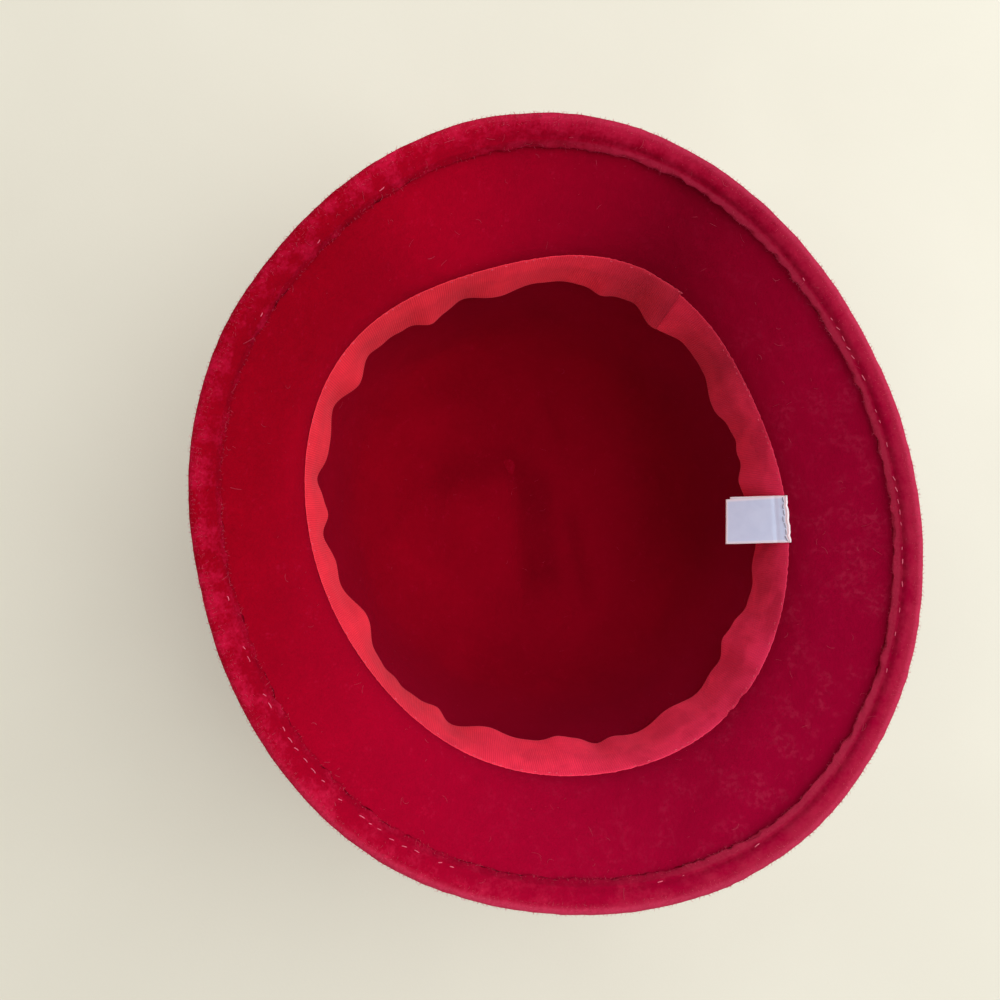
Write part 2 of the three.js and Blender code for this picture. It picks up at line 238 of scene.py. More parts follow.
@dataclass(frozen=True)
class HatForm:
    """The hat's form, with the sizes of its solids. A radius is the mean one of its oval."""

    axis_shift: Span = (1.6955, 0.5883)
    oval_ratio: float = 1.112
    felt_thickness: float = 2.0
    rest_radius: float = 30.0
    rest_softening: float = 13.0
    rest_reach: float = 0.7
    dome_radius: float = 88.0
    dome_depth: float = 62.0
    head_radius: float = 92.1
    head_line_height: float = 116.0
    wall_start_turn: float = -25.0
    wall_foot_height: float = 100.0
    wall_reaches: Span = (12.0, 30.0)
    brim_root_height: float = 113.0
    brim_root_lift: float = 7.5
    brim_edge_radius: float = 120.7
    brim_edge_height: float = 147.1
    brim_edge_slope: float = 42.0
    brim_edge_reach: float = 24.0
    wave_start_height: float = 20.0
    rest_points: int = 60
    dome_points: int = 200
    wall_points: int = 120
    brim_points: int = 160
    head_waves: tuple[Wave, ...] = (
        Wave(2, 0.35, -36), Wave(3, 1.85, 38), Wave(4, 1.7, 41), Wave(5, 0.65, -21), Wave(6, 0.55, -9),
    )
    brim_waves: tuple[Wave, ...] = (
        Wave(1, 1.1, -144), Wave(3, 1.4, -56), Wave(4, 0.6, 40), Wave(5, 0.6, -4),
    )
    brim_dents: tuple[Stretch, ...] = (Stretch(114, 17, -1.2), Stretch(-60, 14, -0.7))

    @property
    def half_felt(self) -> float:
        """Half the felt's thickness."""
        return self.felt_thickness / 2

    @property
    def wall_radius(self) -> float:
        """Radius of the felt's inner face along the wall of the crown."""
        return self.head_radius - self.half_felt

    def oval_factor(self, angle: Array) -> Array:
        """Radius of the head oval at angles in radians, for an oval of mean radius 1."""
        root = math.sqrt(self.oval_ratio)
        return 1.0 / np.hypot(np.cos(angle) * root, np.sin(angle) / root)

    def place(self, radius: Array, height: Array, angle: Array) -> Array:
        """Brings points of the surfaces of revolution to the oval and its waves.

        Args:
            radius: Mean radii of the points.
            height: Heights over the floor.
            angle: Angles about the hat's axis, in radians.

        Returns:
            The points, with x, y and z in the last axis.
        """
        radius, height, angle = np.broadcast_arrays(radius, height, angle)
        crown_share = smooth_step(height, self.wave_start_height, self.head_line_height)
        brim_share = smooth_step(height, self.head_line_height, self.brim_edge_height)
        head_wave = crown_share * total(self.head_waves, angle)
        wave = mix(head_wave, total((*self.brim_waves, *self.brim_dents), angle), brim_share)
        reach = radius * self.oval_factor(angle) + wave * np.minimum(1.0, radius / self.head_radius)
        x = self.axis_shift[0] + reach * np.cos(angle)
        y = self.axis_shift[1] + reach * np.sin(angle)
        return np.stack([x, y, height], axis=-1)

    def midline(self) -> Line:
        """Draws the middle of the felt's thickness.

        Returns:
            The line from the tip of the crown to the brim's edge.
        """
        half = self.half_felt
        rest_angle = math.asin(self.rest_radius / self.dome_radius)
        dome_centre = half + self.dome_depth * math.cos(rest_angle)
        soft_angle = math.asin((self.rest_radius + self.rest_softening) / self.dome_radius)
        wall_turn = math.radians(self.wall_start_turn)
        turn = np.linspace(soft_angle - QUARTER_TURN, wall_turn, self.dome_points)
        dome = np.stack(
            [self.dome_radius * np.cos(turn), dome_centre + self.dome_depth * np.sin(turn)], axis=-1,
        )
        flat_end = self.rest_radius - self.rest_softening
        heading = unit(dome[1] - dome[0]) * self.rest_softening * self.rest_reach
        softened = bezier(
            [(flat_end, half), (self.rest_radius, half), tuple(dome[0] - heading), tuple(dome[0])],
            self.rest_points,
        )
        steep = dome[-1] + unit(dome[-1] - dome[-2]) * self.wall_reaches[0]
        foot = (self.head_radius, self.wall_foot_height)
        below_foot = (self.head_radius, self.wall_foot_height - self.wall_reaches[1])
        wall = bezier([tuple(dome[-1]), tuple(steep), below_foot, foot], self.wall_points)
        slope = math.radians(self.brim_edge_slope)
        edge = (self.brim_edge_radius, self.brim_edge_height)
        before_edge = (
            edge[0] - self.brim_edge_reach * math.cos(slope),
            edge[1] - self.brim_edge_reach * math.sin(slope),
        )
        root = (self.head_radius, self.brim_root_height)
        lifted = (self.head_radius, self.brim_root_height + self.brim_root_lift)
        brim = bezier([root, lifted, before_edge, edge], self.brim_points)
        return Line(np.concatenate([[(0.0, half)], softened, dome, wall, brim]))

    def flare(self, height: Array) -> Array:
        """Measures how far the felt's inner face lies outside the crown's wall, where the brim starts.

        Args:
            height: Heights over the floor.

        Returns:
            The distances, 0 along the wall.
        """
        line = self.midline()
        face = line.at(line.reach, self.half_felt)
        face = face[face[:, 1] > self.brim_root_height]
        return np.interp(height, face[:, 1], face[:, 0], left=self.wall_radius) - self.wall_radius


@dataclass
class MeshDraft:
    """Points and faces of one piece, in millimetres, until it becomes an object."""

    points: list[Array] = field(default_factory=list)
    faces: list[Array] = field(default_factory=list)
    count: int = 0
    steep_share: float = 0.9

    def add_points(self, points: Array) -> int:
        """Adds points.

        Args:
            points: The points, with x, y and z in the last axis.

        Returns:
            The number of the first of them.
        """
        first = self.count
        flat = points.reshape(-1, 3)
        self.points.append(flat)
        self.count += len(flat)
        return first

    def add_grid(self, grid: Array, close_columns: bool = False) -> int:
        """Adds a sheet of four-sided faces over a grid of points.

        Args:
            grid: Points in rows and columns. Faces look along columns crossed with rows.
            close_columns: Whether the last column joins the first.

        Returns:
            The number of the grid's first point.
        """
        rows, columns = grid.shape[:2]
        first = self.add_points(grid)
        row = np.arange(rows - 1)[:, None] * columns
        column = np.arange(columns if close_columns else columns - 1)[None, :]
        following = (column + 1) % columns
        corners = [row + column, row + following, row + columns + following, row + columns + column]
        self.faces.append(first + np.stack(corners, axis=-1).reshape(-1, 4))
        return first

    def add_ends(self, first: int, rows: int, columns: int) -> None:
        """Closes the first and the last row of a grid whose columns are closed.

        Args:
            first: The number of the grid's first point.
            rows: How many rows the grid has.
            columns: How many columns it has.
        """
        ring = np.arange(columns)
        self.faces.append((first + ring[::-1]).reshape(1, -1))
        self.faces.append((first + (rows - 1) * columns + ring).reshape(1, -1))

    def add_fan(self, ring: Array, middle: Array, turned: bool) -> None:
        """Closes a ring of points with triangles about a middle point.

        Args:
            ring: Numbers of the ring's points.
            middle: The point in the middle.
            turned: Whether the triangles run against the ring's order.
        """
        hub = np.full(len(ring), self.add_points(middle))
        following = np.roll(ring, -1)
        order = [hub, following, ring] if turned else [hub, ring, following]
        self.faces.append(np.stack(order, axis=-1))

    def add_tubes(self, paths: Array, radii: Array, sides: int) -> None:
        """Adds closed slim tubes, all with the same number of stations.

        Args:
            paths: Middle lines, as tubes by stations by x, y and z.
            radii: Radius at each station of each tube.
            sides: Number of sides of each tube.
        """
        tubes, stations = paths.shape[:2]
        heading = unit(np.gradient(paths, axis=1))
        steep = np.abs(unit(paths[:, -1] - paths[:, 0])[:, 2:]) > self.steep_share
        aside = np.where(steep, [1.0, 0.0, 0.0], [0.0, 0.0, 1.0])[:, None, :]
        side = unit(np.cross(heading, aside))
        up = np.cross(heading, side)
        turn = np.arange(sides) / sides * FULL_TURN
        spokes = np.cos(turn)[:, None] * side[..., None, :] + np.sin(turn)[:, None] * up[..., None, :]
        first = self.add_points(paths[..., None, :] + radii[..., None, None] * spokes)
        starts = first + np.arange(tubes)[:, None, None] * stations * sides
        here = np.arange(stations - 1)[:, None] * sides + np.arange(sides)
        beside = np.arange(stations - 1)[:, None] * sides + (np.arange(sides) + 1) % sides
        quads = np.stack([here, beside, beside + sides, here + sides], axis=-1)
        self.faces.append((starts[..., None] + quads).reshape(-1, 4))
        ring = np.arange(sides)
        self.faces.append(starts[:, 0] + ring[::-1])
        self.faces.append(starts[:, 0] + (stations - 1) * sides + ring)

    def to_object(
        self, name: str, material: bpy.types.Material, masks: dict[Mask, Array] | None = None,
    ) -> bpy.types.Object:
        """Makes the object and links it to the scene.

        Args:
            name: Name of the object and its mesh.
            material: The finish of all its faces.
            masks: Values for each point, by the attribute that holds them.

        Returns:
            The new object, in metres.
        """
        mesh = bpy.data.meshes.new(name)
        places = np.concatenate(self.points) * MM
        faces = [corners for block in self.faces for corners in block.tolist()]
        mesh.from_pydata(places.tolist(), [], faces)
        mesh.polygons.foreach_set("use_smooth", np.ones(len(mesh.polygons), dtype=bool))
        for mask, values in (masks or {}).items():
            attribute = mesh.attributes.new(mask.value, "FLOAT", "POINT")
            attribute.data.foreach_set("value", values.astype(np.float32).ravel())
        mesh.materials.append(material)
        mesh.validate()
        mesh.update()
        piece = bpy.data.objects.new(name, mesh)
        bpy.context.scene.collection.objects.link(piece)
        return piece


@dataclass(frozen=True)
class Mottle:
    """A noise that is read as a share: its scale per metre and how it is brought to a range."""

    scale: float
    detail: float
    distortion: float
    low: float = 0.3
    high: float = 0.7
    least: float = 0.0
    most: float = 1.0


class NodeSheet:
    """Adds nodes to one node tree and links them."""

    def __init__(self, tree: bpy.types.NodeTree) -> None:
        """Takes the tree that nodes go into."""
        self.tree = tree

    def feed(self, node: bpy.types.Node, inputs: dict[str | int, object]) -> None:
        """Links a node's inputs or sets them.

        Args:
            node: The node.
            inputs: A value, or a socket to link from, for each input by name or number.
        """
        for name, value in inputs.items():
            socket = node.inputs[name]
            if isinstance(value, Socket):
                self.tree.links.new(value, socket)
            elif socket.type == "RGBA" and isinstance(value, tuple):
                socket.default_value = (*value, 1.0)
            else:
                socket.default_value = value

    def node(
        self, kind: str, inputs: dict[str | int, object] | None = None, **settings: object,
    ) -> bpy.types.Node:
        """Adds a node.

        Args:
            kind: Blender's name of the node type.
            inputs: A value, or a socket to link from, for each input by name or number.
            settings: Values of the node's own properties.

        Returns:
            The new node.
        """
        node = self.tree.nodes.new(kind)
        for name, value in settings.items():
            setattr(node, name, value)
        self.feed(node, inputs or {})
        return node

    def group(self, tree: bpy.types.NodeTree, inputs: dict[str | int, object]) -> bpy.types.Node:
        """Places a shared effect with its own values."""
        return self.node("ShaderNodeGroup", inputs, node_tree=tree)

    def math(self, operation: str, *values: object) -> Socket:
        """Adds a Math node and returns its value."""
        return self.node("ShaderNodeMath", dict(enumerate(values)), operation=operation).outputs[0]

    def noise(self, vector: object, scale: object, detail: float, distortion: float = 0.0) -> Socket:
        """Adds a Noise Texture and returns its value."""
        inputs = {"Vector": vector, "Scale": scale, "Detail": detail, "Distortion": distortion}
        return self.node("ShaderNodeTexNoise", inputs).outputs[0]

    def span(self, value: object, source: Span, target: Span = (0.0, 1.0)) -> Socket:
        """Adds a clamped Map Range node from one range to another and returns its value."""
        inputs = dict(enumerate((value, *source, *target)))
        return self.node("ShaderNodeMapRange", inputs).outputs[0]

    def mottle(self, vector: object, look: Mottle) -> Socket:
        """Adds a noise that is brought to a range and returns its value."""
        noise = self.noise(vector, look.scale, look.detail, look.distortion)
        return self.span(noise, (look.low, look.high), (look.least, look.most))

    def blend(self, share: object, first: object, second: object, mode: str = "MIX") -> Socket:
        """Adds a colour Mix node and returns its colour."""
        inputs = {0: share, 6: first, 7: second}
        return self.node("ShaderNodeMix", inputs, data_type="RGBA", blend_type=mode).outputs[2]

    def bump(self, height: Socket, depth: float, strength: float) -> Socket:
        """Adds a Bump node and returns its normal."""
        inputs = {"Height": height, "Distance": depth * MM, "Strength": strength}
        return self.node("ShaderNodeBump", inputs).outputs[0]

    def mask(self, mask: Mask) -> Socket:
        """Reads a point attribute of the mesh."""
        return self.node("ShaderNodeAttribute", attribute_name=mask.value).outputs["Fac"]

    def place(self) -> Socket:
        """Reads the place on the object, in metres."""
        return self.node("ShaderNodeTexCoord").outputs["Object"]

    def toned(self, colour: Socket) -> Socket:
        """Makes a colour lighter or darker by the painted light and shade that the mesh holds."""
        turned = self.math("ADD", self.mask(Mask.TONE), 1.0)
        return self.blend(1.0, colour, turned, "MULTIPLY")


def new_material(name: str) -> tuple[bpy.types.Material, NodeSheet, bpy.types.Node]:
    """Starts a material.

    Args:
        name: The material's name.

    Returns:
        The material, a sheet for its nodes and its Principled shader.
    """
    made = bpy.data.materials.new(name)
    made.use_nodes = True
    sheet = NodeSheet(made.node_tree)
    return made, sheet, made.node_tree.nodes["Principled BSDF"]


@dataclass
class SharedEffects:
    """Node groups that more than one finish uses, built once. Scales are per metre."""

    blotch_share: float = 0.55
    fibre_half_width: float = 0.09
    fibre_share: float = 0.35
    rib_share: float = 0.6
    stagger: float = 0.5
    # Where painted sheen lies: the window lamp's sheen on the side where its light grazes, most on the
    # brim.
    painted_sheen_side: Point = (0.766, -0.643, 0.0)
    painted_sheen_reach: float = 0.1
    painted_sheen_heights: Span = (0.03, 0.118)
    painted_sheen_least: float = 0.26

    def __post_init__(self) -> None:
        """Builds the groups."""
        self.wool = self._wool_nap()
        self.weave = self._ribbed_weave()
        # The share of painted sheen.
        self.painted_sheen = self._painted_sheen_side()

    @staticmethod
    def _group(name: str, inputs: dict[str, tuple[str, object]], outputs: tuple[str, ...]) -> tuple:
        """Starts a group with named sockets.

        Args:
            name: Name of the group.
            inputs: Socket type and starting value of each input.
            outputs: Names of the outputs, which are all values.

        Returns:
            The group, its sheet, its input node and its output node.
        """
        group = bpy.data.node_groups.new(name, "ShaderNodeTree")
        for socket_name, (kind, start) in inputs.items():
            socket = group.interface.new_socket(socket_name, in_out="INPUT", socket_type=kind)
            if start is not None:
                socket.default_value = start
        for socket_name in outputs:
            group.interface.new_socket(socket_name, in_out="OUTPUT", socket_type="NodeSocketFloat")
        sheet = NodeSheet(group)
        return group, sheet, sheet.node("NodeGroupInput"), sheet.node("NodeGroupOutput")

    def _wool_nap(self) -> bpy.types.NodeTree:
        """Builds matted wool: slow blotches, a short nap and single fibres.

        Returns:
            The group, which takes a place in metres.
        """
        inputs = {
            "Vector": ("NodeSocketVector", None),
            "Blotch Scale": ("NodeSocketFloat", 45.0),
            "Nap Scale": ("NodeSocketFloat", 380.0),
            "Fibre Scale": ("NodeSocketFloat", 1500.0),
        }
        group, sheet, given, result = self._group("matted_wool", inputs, ("Tone", "Fibre", "Height"))
        vector = given.outputs["Vector"]
        blotch = sheet.noise(vector, given.outputs["Blotch Scale"], detail=4.0, distortion=0.6)
        nap = sheet.noise(vector, given.outputs["Nap Scale"], detail=3.0, distortion=1.2)
        matted = sheet.noise(vector, given.outputs["Fibre Scale"], detail=2.0, distortion=2.2)
        ridge = sheet.math("ABSOLUTE", sheet.math("SUBTRACT", matted, 0.5))
        fibre = sheet.span(ridge, (0.0, self.fibre_half_width), (1.0, 0.0))
        slow = sheet.math("MULTIPLY", blotch, self.blotch_share)
        low = sheet.math("MULTIPLY", nap, 1 - self.fibre_share)
        sheet.feed(result, {
            "Tone": sheet.math("MULTIPLY_ADD", nap, 1 - self.blotch_share, slow),
            "Fibre": fibre,
            "Height": sheet.math("MULTIPLY_ADD", fibre, self.fibre_share, low),
        })
        return group

    def _ribbed_weave(self) -> bpy.types.NodeTree:
        """Builds woven threads in two directions.

        Returns:
            The group, which takes places on the flat cloth in millimetres.
        """
        inputs = {
            "Along": ("NodeSocketFloat", 0.0),
            "Across": ("NodeSocketFloat", 0.0),
            "Rib Pitch": ("NodeSocketFloat", 0.8),
            "Thread Pitch": ("NodeSocketFloat", 0.3),
        }
        group, sheet, given, result = self._group("ribbed_weave", inputs, ("Rib", "Thread", "Height"))
        rib_turns = sheet.math("DIVIDE", given.outputs["Along"], given.outputs["Rib Pitch"])
        thread_turns = sheet.math("DIVIDE", given.outputs["Across"], given.outputs["Thread Pitch"])
        stagger = sheet.math("MULTIPLY", sheet.math("FLOOR", rib_turns), self.stagger)
        rib = self._ripple(sheet, rib_turns)
        thread = self._ripple(sheet, sheet.math("ADD", thread_turns, stagger))
        ribbed = sheet.math("MULTIPLY", rib, self.rib_share)
        sheet.feed(result, {
            "Rib": rib,
            "Thread": thread,
            "Height": sheet.math("MULTIPLY_ADD", thread, 1 - self.rib_share, ribbed),
        })
        return group

    def _painted_sheen_side(self) -> bpy.types.NodeTree:
        """Builds the share of painted sheen, which grows towards one side of the hat and towards its brim.

        Returns:
            The group, which takes a place in metres.
        """
        inputs = {
            "Vector": ("NodeSocketVector", None),
            "Side": ("NodeSocketVector", self.painted_sheen_side),
            "Reach": ("NodeSocketFloat", self.painted_sheen_reach),
        }
        group, sheet, given, result = self._group("painted_sheen_side", inputs, ("Share",))
        vector = given.outputs["Vector"]
        dot = sheet.node(
            "ShaderNodeVectorMath", {0: vector, 1: given.outputs["Side"]}, operation="DOT_PRODUCT",
        )
        across = sheet.math("DIVIDE", dot.outputs["Value"], given.outputs["Reach"])
        side_share = sheet.span(across, (-1.0, 1.0))
        height = sheet.node("ShaderNodeSeparateXYZ", {0: vector}).outputs[2]
        brim_share = sheet.span(height, self.painted_sheen_heights, (self.painted_sheen_least, 1.0))
        sheet.feed(result, {"Share": sheet.math("MULTIPLY", side_share, brim_share)})
        return group

    @staticmethod
    def _ripple(sheet: NodeSheet, turns: Socket) -> Socket:
        """A ripple from 0 to 1, with one crest for each turn."""
        wave = sheet.math("SINE", sheet.math("MULTIPLY", turns, FULL_TURN))
        return sheet.math("MULTIPLY_ADD", wave, 0.5, 0.5)

    def woven(self, sheet: NodeSheet, rib_pitch: float, thread_pitch: float) -> bpy.types.Node:
        """Places the weave on a mesh's flat cloth.

        Args:
            sheet: The sheet of the finish.
            rib_pitch: Distance of the ribs.
            thread_pitch: Distance of the threads that cross them.

        Returns:
            The group's node.
        """
        return sheet.group(self.weave, {
            "Along": sheet.mask(Mask.ALONG),
            "Across": sheet.mask(Mask.ACROSS),
            "Rib Pitch": rib_pitch,
            "Thread Pitch": thread_pitch,
        })


@dataclass(frozen=True)
class FeltFinish:
    """Short-napped red wool felt, paler where its nap is raised or rubbed, with a painted highlight on the
    hem's lit side, painted sheen towards one side and painted shade in the stitch groove.
    """

    effects: SharedEffects
    deep: Colour = (0.225, 0.0002, 0.0050)
    bright: Colour = (0.305, 0.0003, 0.0078)
    # Raised nap; on the hem's lit side the nap mask paints a highlight with these colours.
    raised: Colour = (0.47, 0.0058, 0.036)
    raised_painted_sheen: Colour = (0.385, 0.0118, 0.041)
    # Pale rubbed felt, also a painted highlight on the hem's lit side.
    rubbed: Colour = (0.46, 0.0280, 0.068)
    lint: Colour = (0.36, 0.0035, 0.020)
    # Clumps show only where painted sheen lies, so they are partly painted sheen.
    clump: Colour = (0.43, 0.0170, 0.056)
    # Painted shade in the stitch groove.
    groove: Colour = (0.16, 0.0003, 0.0060)
    # The felt under painted sheen.
    painted_sheen: Colour = (0.32, 0.0009, 0.0265)
    tone_range: Span = (0.24, 0.76)
    fibre_share: float = 0.14
    clumps: Mottle = Mottle(130.0, 4.0, 0.3, low=0.48, high=0.66, most=0.55)
    flecks: Mottle = Mottle(600.0, 3.0, 0.4, low=0.46, high=0.62, least=0.1)
    ruffles: Mottle = Mottle(190.0, 4.0, 0.4, most=0.5)
    specks: Mottle = Mottle(950.0, 3.0, 0.6, most=0.5)
    lint_sheen_power: float = 3.0
    nap_range: Span = (0.72, 1.5)
    nap_most: float = 0.95
    rubbed_highlight_least: float = 0.6
    roughness: float = 0.92
    specular: float = 0.012
    sheen: float = 0.05
    sheen_roughness: float = 0.40
    sheen_tint: Colour = (1.0, 0.06, 0.28)
    bump_height: float = 0.25
    bump_strength: float = 0.8

    def material(self) -> bpy.types.Material:
        """Builds the finish.

        Returns:
            The material.
        """
        made, sheet, shader = new_material("wool_felt")
        place = sheet.place()
        wool = sheet.group(self.effects.wool, {"Vector": place}).outputs
        # Painted sheen: a bluer colour towards the side where the window lamp's light grazes.
        painted_sheen = sheet.group(self.effects.painted_sheen, {"Vector": place}).outputs["Share"]
        colour = sheet.blend(sheet.span(wool["Tone"], self.tone_range), self.deep, self.bright)
        colour = sheet.blend(painted_sheen, colour, self.painted_sheen)
        fibres = sheet.math("MULTIPLY", wool["Fibre"], self.fibre_share)
        colour = sheet.blend(fibres, colour, self.lint)
        fleck = sheet.mottle(place, self.flecks)
        # Flecks and clumps where the painted sheen lies.
        lint_and_sheen = sheet.math("MULTIPLY", sheet.math("POWER", painted_sheen, self.lint_sheen_power), fleck)
        clumped = sheet.math("MULTIPLY", sheet.mottle(place, self.clumps), lint_and_sheen)
        colour = sheet.blend(clumped, colour, self.clump)
        speck = sheet.mottle(place, self.specks)
        uneven = sheet.math("ADD", sheet.mottle(place, self.ruffles), speck)
        # The nap mask adds raised nap and the hem's painted highlight.
        uneven = sheet.math("ADD", uneven, sheet.mask(Mask.NAP))
        nap_highlight_share = sheet.span(uneven, self.nap_range, (0.0, self.nap_most))
        raised = sheet.blend(painted_sheen, self.raised, self.raised_painted_sheen)
        colour = sheet.blend(nap_highlight_share, colour, raised)
        # Pale rubbed felt and painted highlight.
        rubbed_highlight_share = sheet.math("ADD", speck, self.rubbed_highlight_least)
        rubbed_highlight_share = sheet.math("MULTIPLY", sheet.mask(Mask.RUBBED), rubbed_highlight_share)
        colour = sheet.blend(rubbed_highlight_share, colour, self.rubbed)
        # Painted shade in the stitch groove.
        colour = sheet.blend(sheet.mask(Mask.GROOVE), colour, self.groove)
        sheet.feed(shader, {
            # Painted light and shade by place.
            "Base Color": sheet.toned(colour),
            "Normal": sheet.bump(wool["Height"], self.bump_height, self.bump_strength),
            "Roughness": self.roughness,
            "Specular IOR Level": self.specular,
            "Sheen Weight": self.sheen,
            "Sheen Roughness": self.sheen_roughness,
            "Sheen Tint": self.sheen_tint,
        })
        return made


@dataclass(frozen=True)
class RibbonFinish:
    """Ribbed ribbon: bright on the ribs and deep between them, partly the weave's own tone and partly
    painted shade, with paler selvedges, painted sheen on one side and mottled painted shade there.
    """

    effects: SharedEffects
    # Valley and crest: the weave's own tone, with painted shade between the ribs.
    valley: Colour = (0.58, 0.007, 0.021)
    crest: Colour = (0.92, 0.028, 0.050)
    selvedge: Colour = (0.90, 0.048, 0.076)
    # The ribbon under painted sheen.
    painted_sheen: Colour = (0.88, 0.036, 0.165)
    # Mottled wine patches where the painted sheen lies: painted shade on the side turned from the lamp.
    wine_and_shade: Colour = (0.46, 0.005, 0.036)
    rib_pitch: float = 0.8
    thread_pitch: float = 0.42
    wear: Mottle = Mottle(130.0, 4.0, 0.4, least=-1.0)
    watering: Mottle = Mottle(110.0, 2.0, 0.6, low=0.38, high=0.62, least=0.3)
    clouds: Mottle = Mottle(75.0, 3.0, 0.8, low=0.42, high=0.62, most=0.55)
    tone_middle: float = 0.58
    rib_contrast: float = 0.58
    thread_contrast: float = 0.24
    wear_contrast: float = 0.16
    painted_sheen_power: float = 2.0
    painted_sheen_most: float = 0.65
    selvedge_share: float = 0.12
    roughness: float = 0.62
    rough_rise: float = 0.14
    specular: float = 0.22
    sheen: float = 0.12
    sheen_tint: Colour = (1.0, 0.35, 0.42)
    bump_height: float = 0.07
    bump_strength: float = 0.7

    def material(self) -> bpy.types.Material:
        """Builds the finish.

        Returns:
            The material.
        """
        made, sheet, shader = new_material("ribbed_ribbon")
        place = sheet.place()
        weave = self.effects.woven(sheet, self.rib_pitch, self.thread_pitch).outputs
        watered = sheet.mottle(place, self.watering)
        rib = sheet.math("MULTIPLY", sheet.math("SUBTRACT", weave["Rib"], 0.5), watered)
        thread = sheet.math("SUBTRACT", weave["Thread"], 0.5)
        thread = sheet.math("MULTIPLY", thread, self.thread_contrast)
        tone = sheet.math("MULTIPLY_ADD", rib, self.rib_contrast, thread)
        tone = sheet.math("ADD", tone, self.tone_middle)
        tone = sheet.math("MULTIPLY_ADD", sheet.mottle(place, self.wear), self.wear_contrast, tone)
        # Crest and valley colours: painted shade between the ribs on top of the weave's tone.
        colour = sheet.blend(tone, self.valley, self.crest)
        # Painted sheen towards the side where the window lamp's light grazes.
        painted_sheen = sheet.group(self.effects.painted_sheen, {"Vector": place}).outputs["Share"]
        painted_sheen_share = sheet.math("POWER", painted_sheen, self.painted_sheen_power)
        painted_sheen_share = sheet.math("MULTIPLY", painted_sheen_share, self.painted_sheen_most)
        colour = sheet.blend(painted_sheen_share, colour, self.painted_sheen)
        # Wine patches only where the painted sheen lies, painted shade; then painted light and shade by
        # place.
        cloud = sheet.math("MULTIPLY", sheet.mottle(place, self.clouds), painted_sheen)
        colour = sheet.toned(sheet.blend(cloud, colour, self.wine_and_shade))
        edge = sheet.math("MULTIPLY", sheet.mask(Mask.SELVEDGE), self.selvedge_share)
        rough_range = (self.roughness + self.rough_rise, self.roughness)
        sheet.feed(shader, {
            "Base Color": sheet.blend(edge, colour, self.selvedge),
            "Normal": sheet.bump(weave["Height"], self.bump_height, self.bump_strength),
            "Roughness": sheet.span(weave["Rib"], (0.0, 1.0), rough_range),
            "Specular IOR Level": self.specular,
            "Sheen Weight": self.sheen,
            "Sheen Tint": self.sheen_tint,
        })
        return made


@dataclass(frozen=True)
class SatinFinish:
    """White satin ribbon with a faint weave and bright edges: sealed cut edges brightened by a painted
    highlight, which also runs along the fold.
    """

    effects: SharedEffects
    shade: Colour = (0.56, 0.64, 0.82)
    face: Colour = (0.65, 0.73, 0.90)
    # Pale sealed edges, brightened as a painted highlight that also runs along the fold.
    edge: Colour = (1.0, 0.88, 0.90)
    rib_pitch: float = 0.34
    thread_pitch: float = 0.22
    softness: Mottle = Mottle(190.0, 3.0, 0.5, least=0.2, most=0.8)
    weave_contrast: float = 0.35
    roughness: float = 0.42
    rough_rise: float = 0.12
    specular: float = 0.35
    bump_height: float = 0.03
    bump_strength: float = 0.6

    def material(self) -> bpy.types.Material:
        """Builds the finish.

        Returns:
            The material.
        """
        made, sheet, shader = new_material("label_satin")
        weave = self.effects.woven(sheet, self.rib_pitch, self.thread_pitch).outputs
        soft = sheet.mottle(sheet.place(), self.softness)
        tone = sheet.math("MULTIPLY_ADD", weave["Height"], self.weave_contrast, soft)
        colour = sheet.blend(tone, self.shade, self.face)
        rough_range = (self.roughness + self.rough_rise, self.roughness)
        sheet.feed(shader, {
            "Base Color": sheet.blend(sheet.mask(Mask.SELVEDGE), colour, self.edge),
            "Normal": sheet.bump(weave["Height"], self.bump_height, self.bump_strength),
            "Roughness": sheet.span(weave["Thread"], (0.0, 1.0), rough_range),
            "Specular IOR Level": self.specular,
        })
        return made


@dataclass(frozen=True)
class ThreadFinish:
    """Spun sewing thread or loose wool fibre of one dye."""

    effects: SharedEffects
    dye: Dye
    blotch_scale: float = 300.0
    nap_scale: float = 1800.0
    fibre_scale: float = 5200.0
    tone_range: Span = (0.3, 0.7)
    roughness: float = 0.75
    specular: float = 0.08
    sheen: float = 0.04
    bump_height: float = 0.06
    bump_strength: float = 0.6

    def material(self) -> bpy.types.Material:
        """Builds the finish.

        Returns:
            The material.
        """
        name, shade, face = self.dye.value
        made, sheet, shader = new_material(name)
        wool = sheet.group(self.effects.wool, {
            "Vector": sheet.place(),
            "Blotch Scale": self.blotch_scale,
            "Nap Scale": self.nap_scale,
            "Fibre Scale": self.fibre_scale,
        }).outputs
        sheet.feed(shader, {
            "Base Color": sheet.blend(sheet.span(wool["Tone"], self.tone_range), shade, face),
            "Normal": sheet.bump(wool["Height"], self.bump_height, self.bump_strength),
            "Roughness": self.roughness,
            "Specular IOR Level": self.specular,
            "Sheen Weight": self.sheen,
        })
        return made


